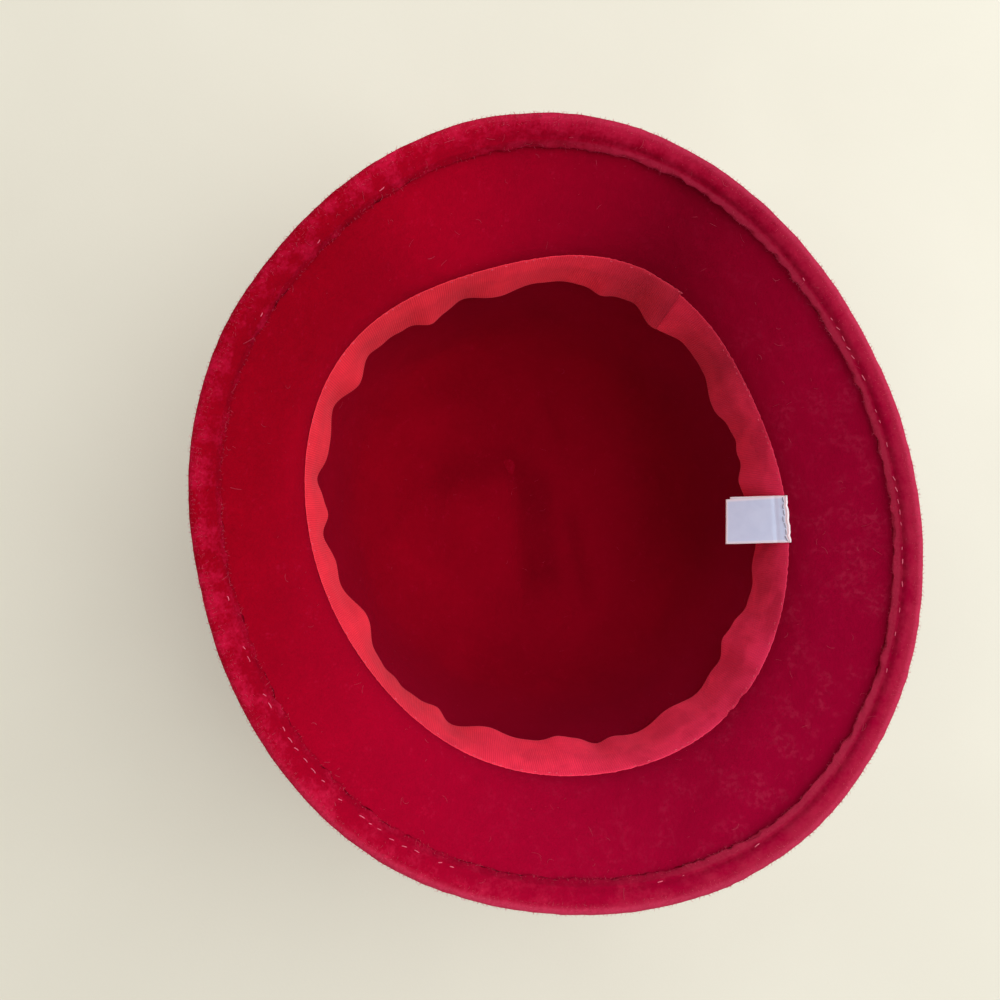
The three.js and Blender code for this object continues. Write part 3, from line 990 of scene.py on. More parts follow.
@dataclass(frozen=True)
class FloorFinish:
    """Matt cream table top with a faint cloudiness."""

    shade: Colour = (0.60, 0.550, 0.445)
    face: Colour = (0.64, 0.590, 0.480)
    clouds: Mottle = Mottle(6.0, 5.0, 0.3, most=0.75)
    grain_scale: float = 700.0
    grain_detail: float = 2.0
    grain_contrast: float = 0.25
    roughness: float = 0.85
    specular: float = 0.15
    bump_height: float = 0.1
    bump_strength: float = 0.3

    def material(self) -> bpy.types.Material:
        """Builds the finish.

        Returns:
            The material.
        """
        made, sheet, shader = new_material("cream_floor")
        place = sheet.place()
        grain = sheet.noise(place, self.grain_scale, self.grain_detail)
        cloud = sheet.mottle(place, self.clouds)
        tone = sheet.math("MULTIPLY_ADD", grain, self.grain_contrast, cloud)
        sheet.feed(shader, {
            "Base Color": sheet.blend(tone, self.shade, self.face),
            "Normal": sheet.bump(grain, self.bump_height, self.bump_strength),
            "Roughness": self.roughness,
            "Specular IOR Level": self.specular,
        })
        return made


def settle(piece: bpy.types.Object, slot: Slot, replaced: str | None = None) -> None:
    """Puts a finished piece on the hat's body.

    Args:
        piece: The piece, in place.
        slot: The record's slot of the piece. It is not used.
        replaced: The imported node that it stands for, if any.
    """
    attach(piece, "root")
    if replaced:
        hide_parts(replaced)


@dataclass(frozen=True)
class Crease:
    """A soft valley inside the tip of the crown, or a stretch of it with painted light and shade.

    It runs along a bowed line on the floor plan. Its tone is painted light and shade in place of the
    crown's shading, and tells by which share the felt looks lighter.
    It fades in before its start and out past its end, at shares of its length.
    """

    start: Span
    end: Span
    bow: float
    half_width: float
    height: float = 0.0
    tone: float = 0.0
    flatness: float = 2.0
    reach: Span = (-0.4, 1.4)
    fade_in: Span = (-0.3, 0.15)
    fade_out: Span = (0.85, 1.3)

    def at(self, points: Array) -> Array:
        """Reads the crease.

        Args:
            points: Points in the hat.

        Returns:
            The crease's share at each point, 1 along its middle.
        """
        start, end = np.array(self.start), np.array(self.end)
        run = end - start
        length = np.linalg.norm(run)
        heading = run / length
        share = np.clip(((points[..., :2] - start) @ heading) / length, *self.reach)
        across = (points[..., :2] - start) @ np.array([-heading[1], heading[0]])
        middle = self.bow * 4 * share * (1 - share)
        fade = smooth_step(share, *self.fade_in) * (1 - smooth_step(share, *self.fade_out))
        return fade * np.exp(-(np.abs((across - middle) / self.half_width) ** self.flatness))


@dataclass(frozen=True)
class Profile:
    """Rows of the felt's closed profile, from the outer tip round the hem to the inner tip.

    Each field has one entry for each row. from_fold is the distance from the hem's fold on the flap
    and -1 elsewhere. The shares tell how near a row is to the raw edge, to the fold and to the lip
    along the raw edge. inside is 1 on the inner face.
    """

    place: Array
    outward: Array
    heading: Array
    from_fold: Array | float = -1.0
    edge_share: Array | float = 0.0
    fold_share: Array | float = 0.0
    lip_share: Array | float = 0.0
    inside: Array | float = 0.0

    @classmethod
    def joined(cls, blocks: list["Profile"]) -> "Profile":
        """Joins blocks of rows.

        Args:
            blocks: The blocks in order. A value that a block has once goes for all of its rows.

        Returns:
            The whole profile.
        """
        def whole(name: str) -> Array:
            """Joins one field of all the blocks."""
            parts = [(getattr(block, name), block.place.shape) for block in blocks]
            full = [np.broadcast_to(value, shape[: max(1, np.ndim(value))]) for value, shape in parts]
            return np.concatenate(full)

        return cls(**{part.name: whole(part.name) for part in fields(cls)})

    def outer(self) -> Array:
        """Marks the rows of the hat's outer face, which come before the fold."""
        return np.cumsum(self.fold_share >= 1.0) == 0

    def on_flap(self) -> Array:
        """Marks the rows of the hem's flap, as a column."""
        return (self.from_fold >= 0)[:, None]


@dataclass(frozen=True)
class HemNap:
    """How far the hem's nap is raised, and on its lit side the painted highlight that goes with it:
    everywhere, on its lip and towards its fold.
    """

    base: float
    lip: float
    fold: float
    fold_power: int = 1

    def at(self, lip: Array, fold: Array) -> Array:
        """The raised nap at shares of the lip and of the fold."""
        return self.base + self.lip * lip + self.fold * fold**self.fold_power


@dataclass
class FeltBody:
    """Crown, brim and folded hem in one piece of felt."""

    form: HatForm
    columns: int = 528
    crown_step: float = 12.0
    crown_turn: float = 0.075
    bend_samples: int = 800
    brim_run: float = 44.0
    brim_step: float = 2.2
    inner_crown_step: float = 2.6
    inner_brim_step: float = 1.55
    rim_run: float = 12.0
    rim_rows: int = 11
    rim_fade: float = 0.07
    rim_fade_turn: float = 0.5
    hem_width: float = 7.8
    hem_slit: float = 0.3
    hem_puff: float = 0.42
    hem_spread: tuple[Stretch, ...] = (Stretch(192, 34, 1.0),)
    flap_start: float = 0.7
    flap_step: float = 0.75
    stitches: int = 176
    stitch_from_fold: float = 4.4
    stitch_margin: float = 2.0
    stitch_step: float = 0.42
    edge_past_stitch: float = 1.0
    fold_before_stitch: float = 0.5
    lip_past_stitch: float = 0.2
    lip_before_edge: float = 0.3
    raw_edge_round: float = 0.7
    raw_edge_rows: int = 4
    raw_edge_waver: float = 0.21
    under_flap_row: float = 3.0
    beside_flap: Span = (0.6, -4.0)
    beside_flap_step: float = 0.7
    past_flap: float = -4.2
    proud_angle: float = -15.0
    proud_turn: Span = (-0.2, 0.5)
    proud_narrowing: float = 1.0
    flat_relief: float = 0.45
    groove_depth: float = 0.10
    groove_half: float = 0.85
    pucker: float = 0.16
    pucker_half: float = 1.3
    lip_press: float = 1.25
    lip_press_proud: float = 0.25
    slow_relief: float = 0.22
    calm_relief: float = 0.06
    fine_relief: float = 0.05
    slow_waves: Unevenness = Unevenness(34.0, 11)
    fine_waves: Unevenness = Unevenness(5.0, 12)
    ragged_waves: Unevenness = Unevenness(9.0, 13)
    ragged_share: float = 0.7
    frayed_waves: Unevenness = Unevenness(3.0, 16)
    calm_below_head_line: float = 6.0
    calm_half: float = 16.0
    crease_heights: Span = (12.0, 40.0)
    rest_heights: Span = (0.0, 8.0)
    # The creases' tones paint light and shade on the crown's inside: the shading of its pressed tip and
    # creases, and light on the wall where the sweatband shades it.
    creases: tuple[Crease, ...] = (
        Crease((9.0, 24.0), (-13.0, -42.0), 0.0, 7.0, height=-1.6),
        Crease((16.5, 14.0), (0.5, -38.0), 0.0, 9.5, tone=-0.21, flatness=4.0),
        Crease((-10.0, 18.0), (-24.0, -26.0), 0.0, 16.0, tone=0.08, flatness=4.0),
        Crease((28.0, -9.0), (18.0, -50.0), 0.0, 4.0, height=-0.7, tone=-0.10),
        Crease((-30.0, 26.0), (12.0, 24.0), 4.0, 9.5, height=-0.9, tone=-0.17),
        Crease((34.0, 50.0), (36.5, 26.0), 0.0, 3.5, height=-0.5, tone=-0.06),
        Crease((-46.0, -56.0), (12.0, -84.0), 0.0, 14.0, tone=-0.09),
        Crease((86.0, 48.0), (66.0, -45.0), 8.0, 22.0, tone=-0.17, flatness=4.0),
        Crease((-70.0, 62.0), (-10.0, 88.0), 4.0, 12.0, tone=0.20),
        Crease((-60.0, 40.0), (-20.0, 66.0), 0.0, 14.0, tone=0.12),
        Crease((-62.0, 8.0), (-46.0, -24.0), 0.0, 10.0, tone=0.08),
    )
    # The proud side's hem nap and the rim nap paint the highlight where the window lamp's light falls on
    # the hem, brightest at the rim.
    flat_nap: HemNap = HemNap(base=0.25, lip=0.06, fold=0.15)
    proud_nap: HemNap = HemNap(base=0.52, lip=0.43, fold=0.30, fold_power=2)
    lip_nap: Span = (0.4, 1.3)
    rim_nap: Span = (0.40, 0.98)
    rim_nap_from: float = 0.2
    outer_nap: float = 0.27
    outer_patch_share: float = 0.4
    patches: tuple[tuple[float, Unevenness], ...] = (
        (0.10, Unevenness(14.0, 14)), (0.07, Unevenness(5.0, 17)),
    )
    # Painted shade in the stitch groove: blotchy, full on the proud side and faint where the hem lies
    # flat.
    groove_tone: float = 0.20
    groove_swing: float = 0.16
    groove_flat_share: float = 0.10
    groove_before_stitch: float = 0.5
    groove_tone_half: float = 0.68
    groove_blotch_middle: float = 0.55
    groove_blotch_spread: float = 0.5
    groove_blotches: Unevenness = Unevenness(5.0, 15)
    # Pale rubbed felt with a painted highlight: on the fold of the side towards the window lamp and on the
    # proud lip.
    rubbed_highlight_angle: float = -40.0
    rubbed_highlight_turn: Span = (-0.8, 0.3)
    rubbed_highlight_fold: Span = (0.92, 0.995)
    rubbed_highlight_lip: float = 0.5
    # Painted light and shade round the brim by angle, with a painted shadow above the sweatband's lap.
    brim_painted_light: tuple[Stretch, ...] = (
        Stretch(42, 20, -0.15), Stretch(91, 13, 0.25), Stretch(215, 38, 0.16), Stretch(272, 16, -0.09),
    )
    # Painted shade on the inner brim beside the lap.
    inner_brim_painted_shade: tuple[Stretch, ...] = (Stretch(47, 9, -0.16),)
    # Painted light at the brim's root, where the sweatband shades it.
    root_tones: tuple[Stretch, ...] = (Stretch(150, 65, 0.19),)
    crown_tone_heights: Span = (80.0, 105.0)
    brim_tone_heights: Span = (108.0, 120.0)
    root_tone_heights: Span = (117.0, 132.0)
    grid: Array | None = None
    normals: Array | None = None
    profile: Profile | None = None

    def flap_offset(self) -> float:
        """Height of the flap's plain upper face over the brim's midline."""
        return self.form.felt_thickness * 1.5 + self.hem_slit

    def angles(self) -> Array:
        """Angles of the columns about the hat's axis, in radians."""
        return np.arange(self.columns) / self.columns * FULL_TURN

    def proud(self, angle: Array) -> Array:
        """Share to which the hem stands out of the brim, at angles in radians. Elsewhere it lies flat."""
        return smooth_step(np.cos(angle - math.radians(self.proud_angle)), *self.proud_turn)

    def spread(self, from_fold: Array, angle: Array) -> Array:
        """Distances from the fold with the hem's own width at angles in radians."""
        wider = total(self.hem_spread, angle) - self.proud_narrowing * self.proud(angle)
        return from_fold * (1 + wider / self.hem_width)

    def hem_relief(self, from_fold: Array, angle: Array) -> Array:
        """Works out the height of the hem over its plain flap.

        Args:
            from_fold: Distances from the fold.
            angle: Angles about the hat's axis, in radians.

        Returns:
            Heights, puffed beside the fold and drawn in at the stitches.
        """
        puff = self.hem_puff * np.sin(math.pi * np.clip(from_fold / self.stitch_from_fold, 0.0, 1.0))
        groove = self.groove_depth * bell(from_fold, self.stitch_from_fold, self.groove_half)
        holes = np.cos(angle * self.stitches) * bell(from_fold, self.stitch_from_fold, self.pucker_half)
        return (puff - groove) * mix(self.flat_relief, 1.0, self.proud(angle)) - self.pucker * holes

    def outer_block(self, line: Line) -> Profile:
        """Lays out the outer face, with rows closer together where the crown bends more.

        Args:
            line: The felt's midline.

        Returns:
            The rows from the tip to the rim.
        """
        brim_start = line.length - self.brim_run
        fine = np.linspace(0.0, brim_start, self.bend_samples)
        heading = line.tangent(fine)
        bend = np.abs(np.diff(np.arctan2(heading[:, 1], heading[:, 0]), prepend=0.0))
        rank = np.cumsum(bend / self.crown_turn) + fine / self.crown_step
        crown = np.interp(np.arange(1.0, rank[-1]), rank, fine)
        at = np.concatenate([crown, np.arange(brim_start, line.length, self.brim_step)])
        return Profile(
            line.at(at, -self.form.half_felt), -line.left(at), line.tangent(at),
            fold_share=smooth_step(at, line.length - self.rim_run, line.length),
        )

    def rim_block(self, line: Line) -> Profile:
        """Lays out the round of the hem's fold.

        Args:
            line: The felt's midline.

        Returns:
            The rows from the outer face to the flap.
        """
        end = np.array([line.length])
        radius = self.form.half_felt + self.hem_slit / 2
        turn = np.linspace(-QUARTER_TURN, QUARTER_TURN, self.rim_rows)[:, None]
        spoke = np.cos(turn) * line.tangent(end) + np.sin(turn) * line.left(end)
        rim = line.at(end, radius) + (radius + self.form.half_felt) * spoke
        fade = self.rim_fade * smooth_step(turn[:, 0], self.rim_fade_turn, QUARTER_TURN)
        return Profile(rim, spoke, line.tangent(end), fold_share=1 - fade)

    def flap_block(self, line: Line) -> Profile:
        """Lays out the flap's upper face, with rows closer together at the stitches.

        Args:
            line: The felt's midline.

        Returns:
            The rows from the fold to the raw edge.
        """
        stitch, dense_from = self.stitch_from_fold, self.stitch_from_fold - self.stitch_margin
        marks = np.concatenate([
            np.arange(self.flap_start, dense_from, self.flap_step),
            np.arange(dense_from, self.hem_width - self.raw_edge_round, self.stitch_step),
        ])
        at = line.length - marks
        lip = (stitch + self.lip_past_stitch, self.hem_width - self.lip_before_edge)
        return Profile(
            line.at(at, self.flap_offset()), line.left(at), line.tangent(at), from_fold=marks,
            edge_share=smooth_step(marks, stitch + self.edge_past_stitch, self.hem_width),
            fold_share=1 - smooth_step(marks, 0.0, stitch - self.fold_before_stitch),
            lip_share=smooth_step(marks, *lip),
        )

    def raw_edge_block(self, line: Line) -> Profile:
        """Lays out the rounded upper corner of the raw edge.

        Args:
            line: The felt's midline.

        Returns:
            The rows from the flap's upper face down its edge.
        """
        corner = np.linspace(0.0, QUARTER_TURN, self.raw_edge_rows)
        at = line.length - self.hem_width + self.raw_edge_round * (1 - np.sin(corner))
        offset = self.flap_offset() - self.raw_edge_round * (1 - np.cos(corner))
        upward, forward = np.cos(corner)[:, None], np.sin(corner)[:, None]
        out = unit(line.left(at) * upward - line.tangent(at) * forward)
        return Profile(
            line.at(at, offset), out, line.tangent(at),
            from_fold=line.length - at, edge_share=1.0, lip_share=1.0,
        )

    def slit_blocks(self, line: Line) -> list[Profile]:
        """Lays out the flap's lower face and the end of the slit under it.

        Args:
            line: The felt's midline.

        Returns:
            Four single rows, from the raw edge into the slit.
        """
        half, slit = self.form.half_felt, self.hem_slit
        end, edge = np.array([line.length]), np.array([line.length - self.hem_width])
        heading = line.tangent(end)
        bottom = line.at(end, half + slit / 2) + heading * slit / 2
        return [
            Profile(line.at(edge, half + slit), -line.tangent(edge), line.tangent(edge), edge_share=1.0),
            Profile(line.at(end, half + slit), line.left(end), heading),
            Profile(bottom, heading, heading),
            Profile(line.at(end, half), line.left(end), heading),
        ]

    def inner_block(self, line: Line) -> Profile:
        """Lays out the inner face, with rows closer together beside the flap.

        Args:
            line: The felt's midline.

        Returns:
            The rows from the slit to the tip.
        """
        edge, brim_start = line.length - self.hem_width, line.length - self.brim_run
        at = np.concatenate([
            [edge + self.under_flap_row],
            np.arange(edge + self.beside_flap[0], edge + self.beside_flap[1], -self.beside_flap_step),
            np.arange(edge + self.past_flap, brim_start, -self.inner_brim_step),
            np.arange(brim_start, self.inner_crown_step, -self.inner_crown_step),
        ])
        place = line.at(at, self.form.half_felt)
        return Profile(place, line.left(at), line.tangent(at), inside=1.0)

    def relief(self, plain: Array) -> Array:
        """Works out the felt's unevenness.

        Args:
            plain: Points of the plain felt.

        Returns:
            How far each point moves out of the felt. The creases lie inside the crown, and the outer
            face stays flat where it rests.
        """
        rows, height = self.profile, plain[..., 2]
        inside = rows.inside[:, None]
        hemmed = np.maximum(rows.fold_share[:, None], rows.on_flap())
        head_line = self.form.head_line_height - self.calm_below_head_line
        calm = np.maximum(hemmed, bell(height, head_line, self.calm_half))
        relief = mix(self.slow_relief, self.calm_relief, calm) * self.slow_waves.at(plain)
        relief += self.fine_relief * self.fine_waves.at(plain)
        creased = sum(crease.height * crease.at(plain) for crease in self.creases)
        relief += creased * (1 - smooth_step(height, *self.crease_heights)) * inside
        return np.where(inside > 0, relief, relief * smooth_step(height, *self.rest_heights))

    def hem_lift(self, angle: Array) -> Array:
        """Works out how far the flap's rows are lifted off the brim.

        Args:
            angle: Angles about the hat's axis, in radians.

        Returns:
            The lift of each point, below 0 where the lip is pressed down.
        """
        rows = self.profile
        lift = np.where(rows.on_flap(), self.hem_relief(rows.from_fold[:, None], angle), 0.0)
        press = mix(self.lip_press, self.lip_press_proud, self.proud(angle))
        return lift - press * rows.lip_share[:, None]

    def hem_waver(self, plain: Array, angle: Array) -> Array:
        """Works out how far the flap's rows move towards the fold.

        Args:
            plain: Points of the plain felt.
            angle: Angles about the hat's axis, in radians.

        Returns:
            The way of each point, by the hem's own width and its ragged raw edge.
        """
        rows = self.profile
        edge = rows.edge_share[:, None]
        rough = self.ragged_share * self.ragged_waves.at(plain) + self.frayed_waves.at(plain)
        reach = np.where(rows.on_flap(), rows.from_fold[:, None], self.hem_width * edge)
        return self.raw_edge_waver * rough * edge + (reach - self.spread(reach, angle))

    def shape(self) -> None:
        """Works out the felt's points and the directions out of it."""
        line, angle = self.form.midline(), self.angles()
        rows = self.profile = Profile.joined([
            self.outer_block(line), self.rim_block(line), self.flap_block(line),
            self.raw_edge_block(line), *self.slit_blocks(line), self.inner_block(line),
        ])
        plain = self.form.place(rows.place[:, :1], rows.place[:, 1:], angle)
        off_brim = np.stack([-rows.heading[:, 1], rows.heading[:, 0]], axis=-1)
        relief, lift, waver = self.relief(plain), self.hem_lift(angle), self.hem_waver(plain, angle)
        radius, height = (
            rows.place[:, i : i + 1] + rows.outward[:, i : i + 1] * relief
            + off_brim[:, i : i + 1] * lift + rows.heading[:, i : i + 1] * waver
            for i in range(2)
        )
        self.grid = self.form.place(radius, height, angle)
        round_it = np.roll(self.grid, -1, axis=1) - np.roll(self.grid, 1, axis=1)
        self.normals = unit(np.cross(round_it, np.gradient(self.grid, axis=0)))

    def lip(self) -> Array:
        """Share to which each row belongs to the lip past the stitches, as a column."""
        past_stitch = (self.profile.from_fold - self.stitch_from_fold)[:, None]
        return smooth_step(past_stitch, *self.lip_nap)

    def nap_mask(self, angle: Array) -> Array:
        """Works out where the nap is raised and where a highlight is painted on the hem's lit side.

        Args:
            angle: Angles about the hat's axis, in radians.

        Returns:
            The raised nap and painted highlight of each point: on the flap, on the rim and on the outer
            face.
        """
        rows, proud, lip = self.profile, self.proud(angle), self.lip()
        fold, outer = rows.fold_share[:, None], rows.outer()[:, None]
        # On the proud side the flap's nap paints its highlight.
        flap_nap_and_highlight = mix(self.flat_nap.at(lip, fold), self.proud_nap.at(lip, fold), proud)
        to_rim = smooth_step(fold, self.rim_nap_from, 1.0)
        # Rim nap, and on the proud side the rim's painted highlight.
        rim_nap = mix(*self.rim_nap, proud) * to_rim + self.outer_nap * outer * (1 - to_rim)
        patchy = sum(amount * waves.at(self.grid) for amount, waves in self.patches)
        patched = rows.on_flap() | (fold > self.rim_nap_from)
        nap = np.where(rows.on_flap(), flap_nap_and_highlight, rim_nap)
        return nap + np.where(patched, patchy, self.outer_patch_share * patchy * outer)

    def groove_mask(self, angle: Array) -> Array:
        """Works out the painted shade in the groove along the stitches.

        Args:
            angle: Angles about the hat's axis, in radians.

        Returns:
            The painted shade's share at each point.
        """
        rows = self.profile
        blotchy = self.groove_blotch_spread * self.groove_blotches.at(self.grid)
        blotchy = np.clip(self.groove_blotch_middle + blotchy, 0.0, 1.0)
        drawn = (self.groove_tone + self.groove_swing * np.cos(angle * self.stitches)) * blotchy
        drawn = drawn * mix(self.groove_flat_share, 1.0, self.proud(angle))
        middle = self.stitch_from_fold - self.groove_before_stitch
        groove = bell(rows.from_fold, middle, self.groove_tone_half)[:, None] * drawn
        return np.where(rows.on_flap(), groove, 0.0)

    def tone_mask(self, angle: Array) -> Array:
        """Works out where light and shade are painted on the felt, so it looks lighter or darker.

        Args:
            angle: Angles about the hat's axis, in radians.

        Returns:
            The painted light and shade of each point, 0 where none is painted.
        """
        height, inside = self.grid[..., 2], self.profile.inside[:, None]
        crown = sum(crease.tone * crease.at(self.grid) for crease in self.creases)
        crown *= inside * (1 - smooth_step(height, *self.crown_tone_heights))
        root = inside * (1 - smooth_step(height, *self.root_tone_heights))
        brim = total(self.brim_painted_light, angle) + inside * total(self.inner_brim_painted_shade, angle)
        brim = brim + root * total(self.root_tones, angle)
        return crown + brim * smooth_step(height, *self.brim_tone_heights)

    def rubbed_highlight_mask(self, angle: Array) -> Array:
        """Works out where the hem is pale: rubbed felt with a painted highlight on the side towards the
        window lamp.

        Args:
            angle: Angles about the hat's axis, in radians.

        Returns:
            The share of pale rubbed felt and painted highlight at each point: on the fold of one side and
            on the proud lip.
        """
        side = smooth_step(np.cos(angle - math.radians(self.rubbed_highlight_angle)), *self.rubbed_highlight_turn)
        fold = smooth_step(self.profile.fold_share[:, None], *self.rubbed_highlight_fold)
        return fold * side + self.rubbed_highlight_lip * self.lip() * self.proud(angle)

    def masks(self) -> dict[Mask, Array]:
        """Works out the finish's masks.

        Returns:
            The values for every point by mask, those of the two tips last.
        """
        angle = self.angles()
        named = {
            Mask.NAP: self.nap_mask(angle),
            Mask.GROOVE: self.groove_mask(angle),
            Mask.TONE: self.tone_mask(angle),
            Mask.RUBBED: self.rubbed_highlight_mask(angle),
        }
        return {mask: np.append(values.ravel(), [0.0, 0.0]) for mask, values in named.items()}

    def build(self, finish: FeltFinish) -> bpy.types.Object:
        """Builds and dresses the felt.

        Args:
            finish: The felt's finish.

        Returns:
            The piece that stands for the felt's solid.
        """
        self.shape()
        draft = MeshDraft()
        draft.add_grid(self.grid, close_columns=True)
        tip = np.array([*self.form.axis_shift, 0.0])
        inner_tip = np.array([*self.form.axis_shift, self.grid[-1, :, 2].mean()])
        ring = np.arange(self.columns)
        draft.add_fan(ring, tip, turned=True)
        draft.add_fan((len(self.grid) - 1) * self.columns + ring, inner_tip, turned=False)
        piece = draft.to_object("felt_hat", finish.material(), self.masks())
        settle(piece, Slot.FELT, "felt_body")
        return piece


def spin(
    name: str, paths: Array, radii: Array, sides: int, finish: ThreadFinish, slot: Slot,
) -> bpy.types.Object:
    """Makes a piece of threads or fibres that rides on the hat.

    Args:
        name: The piece's name.
        paths: Middle lines, as threads by stations by x, y and z.
        radii: Radius at each station of each thread.
        sides: Number of sides of each thread.
        finish: The threads' finish.
        slot: The record's slot that they belong to.

    Returns:
        The piece.
    """
    draft = MeshDraft()
    draft.add_tubes(paths, radii, sides)
    piece = draft.to_object(name, finish.material())
    settle(piece, slot)
    return piece


@dataclass
class HemStitching:
    """The line of stitches that holds the hem down, sunk into the nap for the most part."""

    felt: FeltBody
    thread_radius: float = 0.14
    visible_share: float = 0.60
    slant: float = 0.30
    dive: float = 0.40
    lift: float = 0.10
    arch_power: float = 3.5
    sink: float = 0.20
    sunk_share: float = 0.95
    clear: tuple[Stretch, ...] = (Stretch(208, 30, 0.75), Stretch(-10, 38, 0.55))
    place_spread: float = 0.09
    drift_spread: float = 0.15
    length_range: Span = (0.6, 1.2)
    slant_range: Span = (-0.4, 1.5)
    radius_range: Span = (0.85, 1.12)
    end_taper: float = 0.35
    stations: int = 9
    sides: int = 7
    seed: int = 21

    def build(self, finish: ThreadFinish) -> bpy.types.Object:
        """Builds and dresses the stitches.

        Args:
            finish: The thread's finish.

        Returns:
            The stitches as one piece.
        """
        felt, form = self.felt, self.felt.form
        draw = np.random.default_rng(self.seed)
        count = felt.stitches
        jitter = draw.normal(0.0, self.place_spread, count)
        middle = (np.arange(count) + 0.5 + jitter) / count * FULL_TURN
        shown = 1 - self.sunk_share + total(self.clear, middle)
        middle = middle[draw.random(count) < shown]
        count = len(middle)
        pitch = FULL_TURN / felt.stitches
        span = pitch * self.visible_share * draw.uniform(*self.length_range, count)
        slant = self.slant * draw.uniform(*self.slant_range, count)
        drift = draw.normal(0.0, self.drift_spread, count)
        share = np.linspace(-1.0, 1.0, self.stations)
        angle = middle[:, None] + span[:, None] / 2 * share
        from_fold = felt.stitch_from_fold + drift[:, None] + slant[:, None] * share
        line = form.midline()
        at = line.length - felt.spread(from_fold, angle)
        arch = self.lift - (self.lift + self.dive) * np.abs(share) ** self.arch_power
        sunk = self.sink * draw.random(count)[:, None] ** 2
        relief = felt.hem_relief(from_fold, angle) + arch - sunk
        flat = line.at(at, felt.flap_offset() + relief)
        paths = form.place(flat[..., 0], flat[..., 1], angle)
        taper = 1.0 - self.end_taper * share**4
        radii = self.thread_radius * draw.uniform(*self.radius_range, count)[:, None] * taper
        return spin("hem_stitches", paths, radii, self.sides, finish, Slot.FELT)


@dataclass(frozen=True)
class Tuft:
    """Sizes of many like fibres, with the ranges that each of them is drawn from."""

    count: int
    length: Span
    lean: Span
    curl: float
    radius: float
    tip_share: float
    stations: int


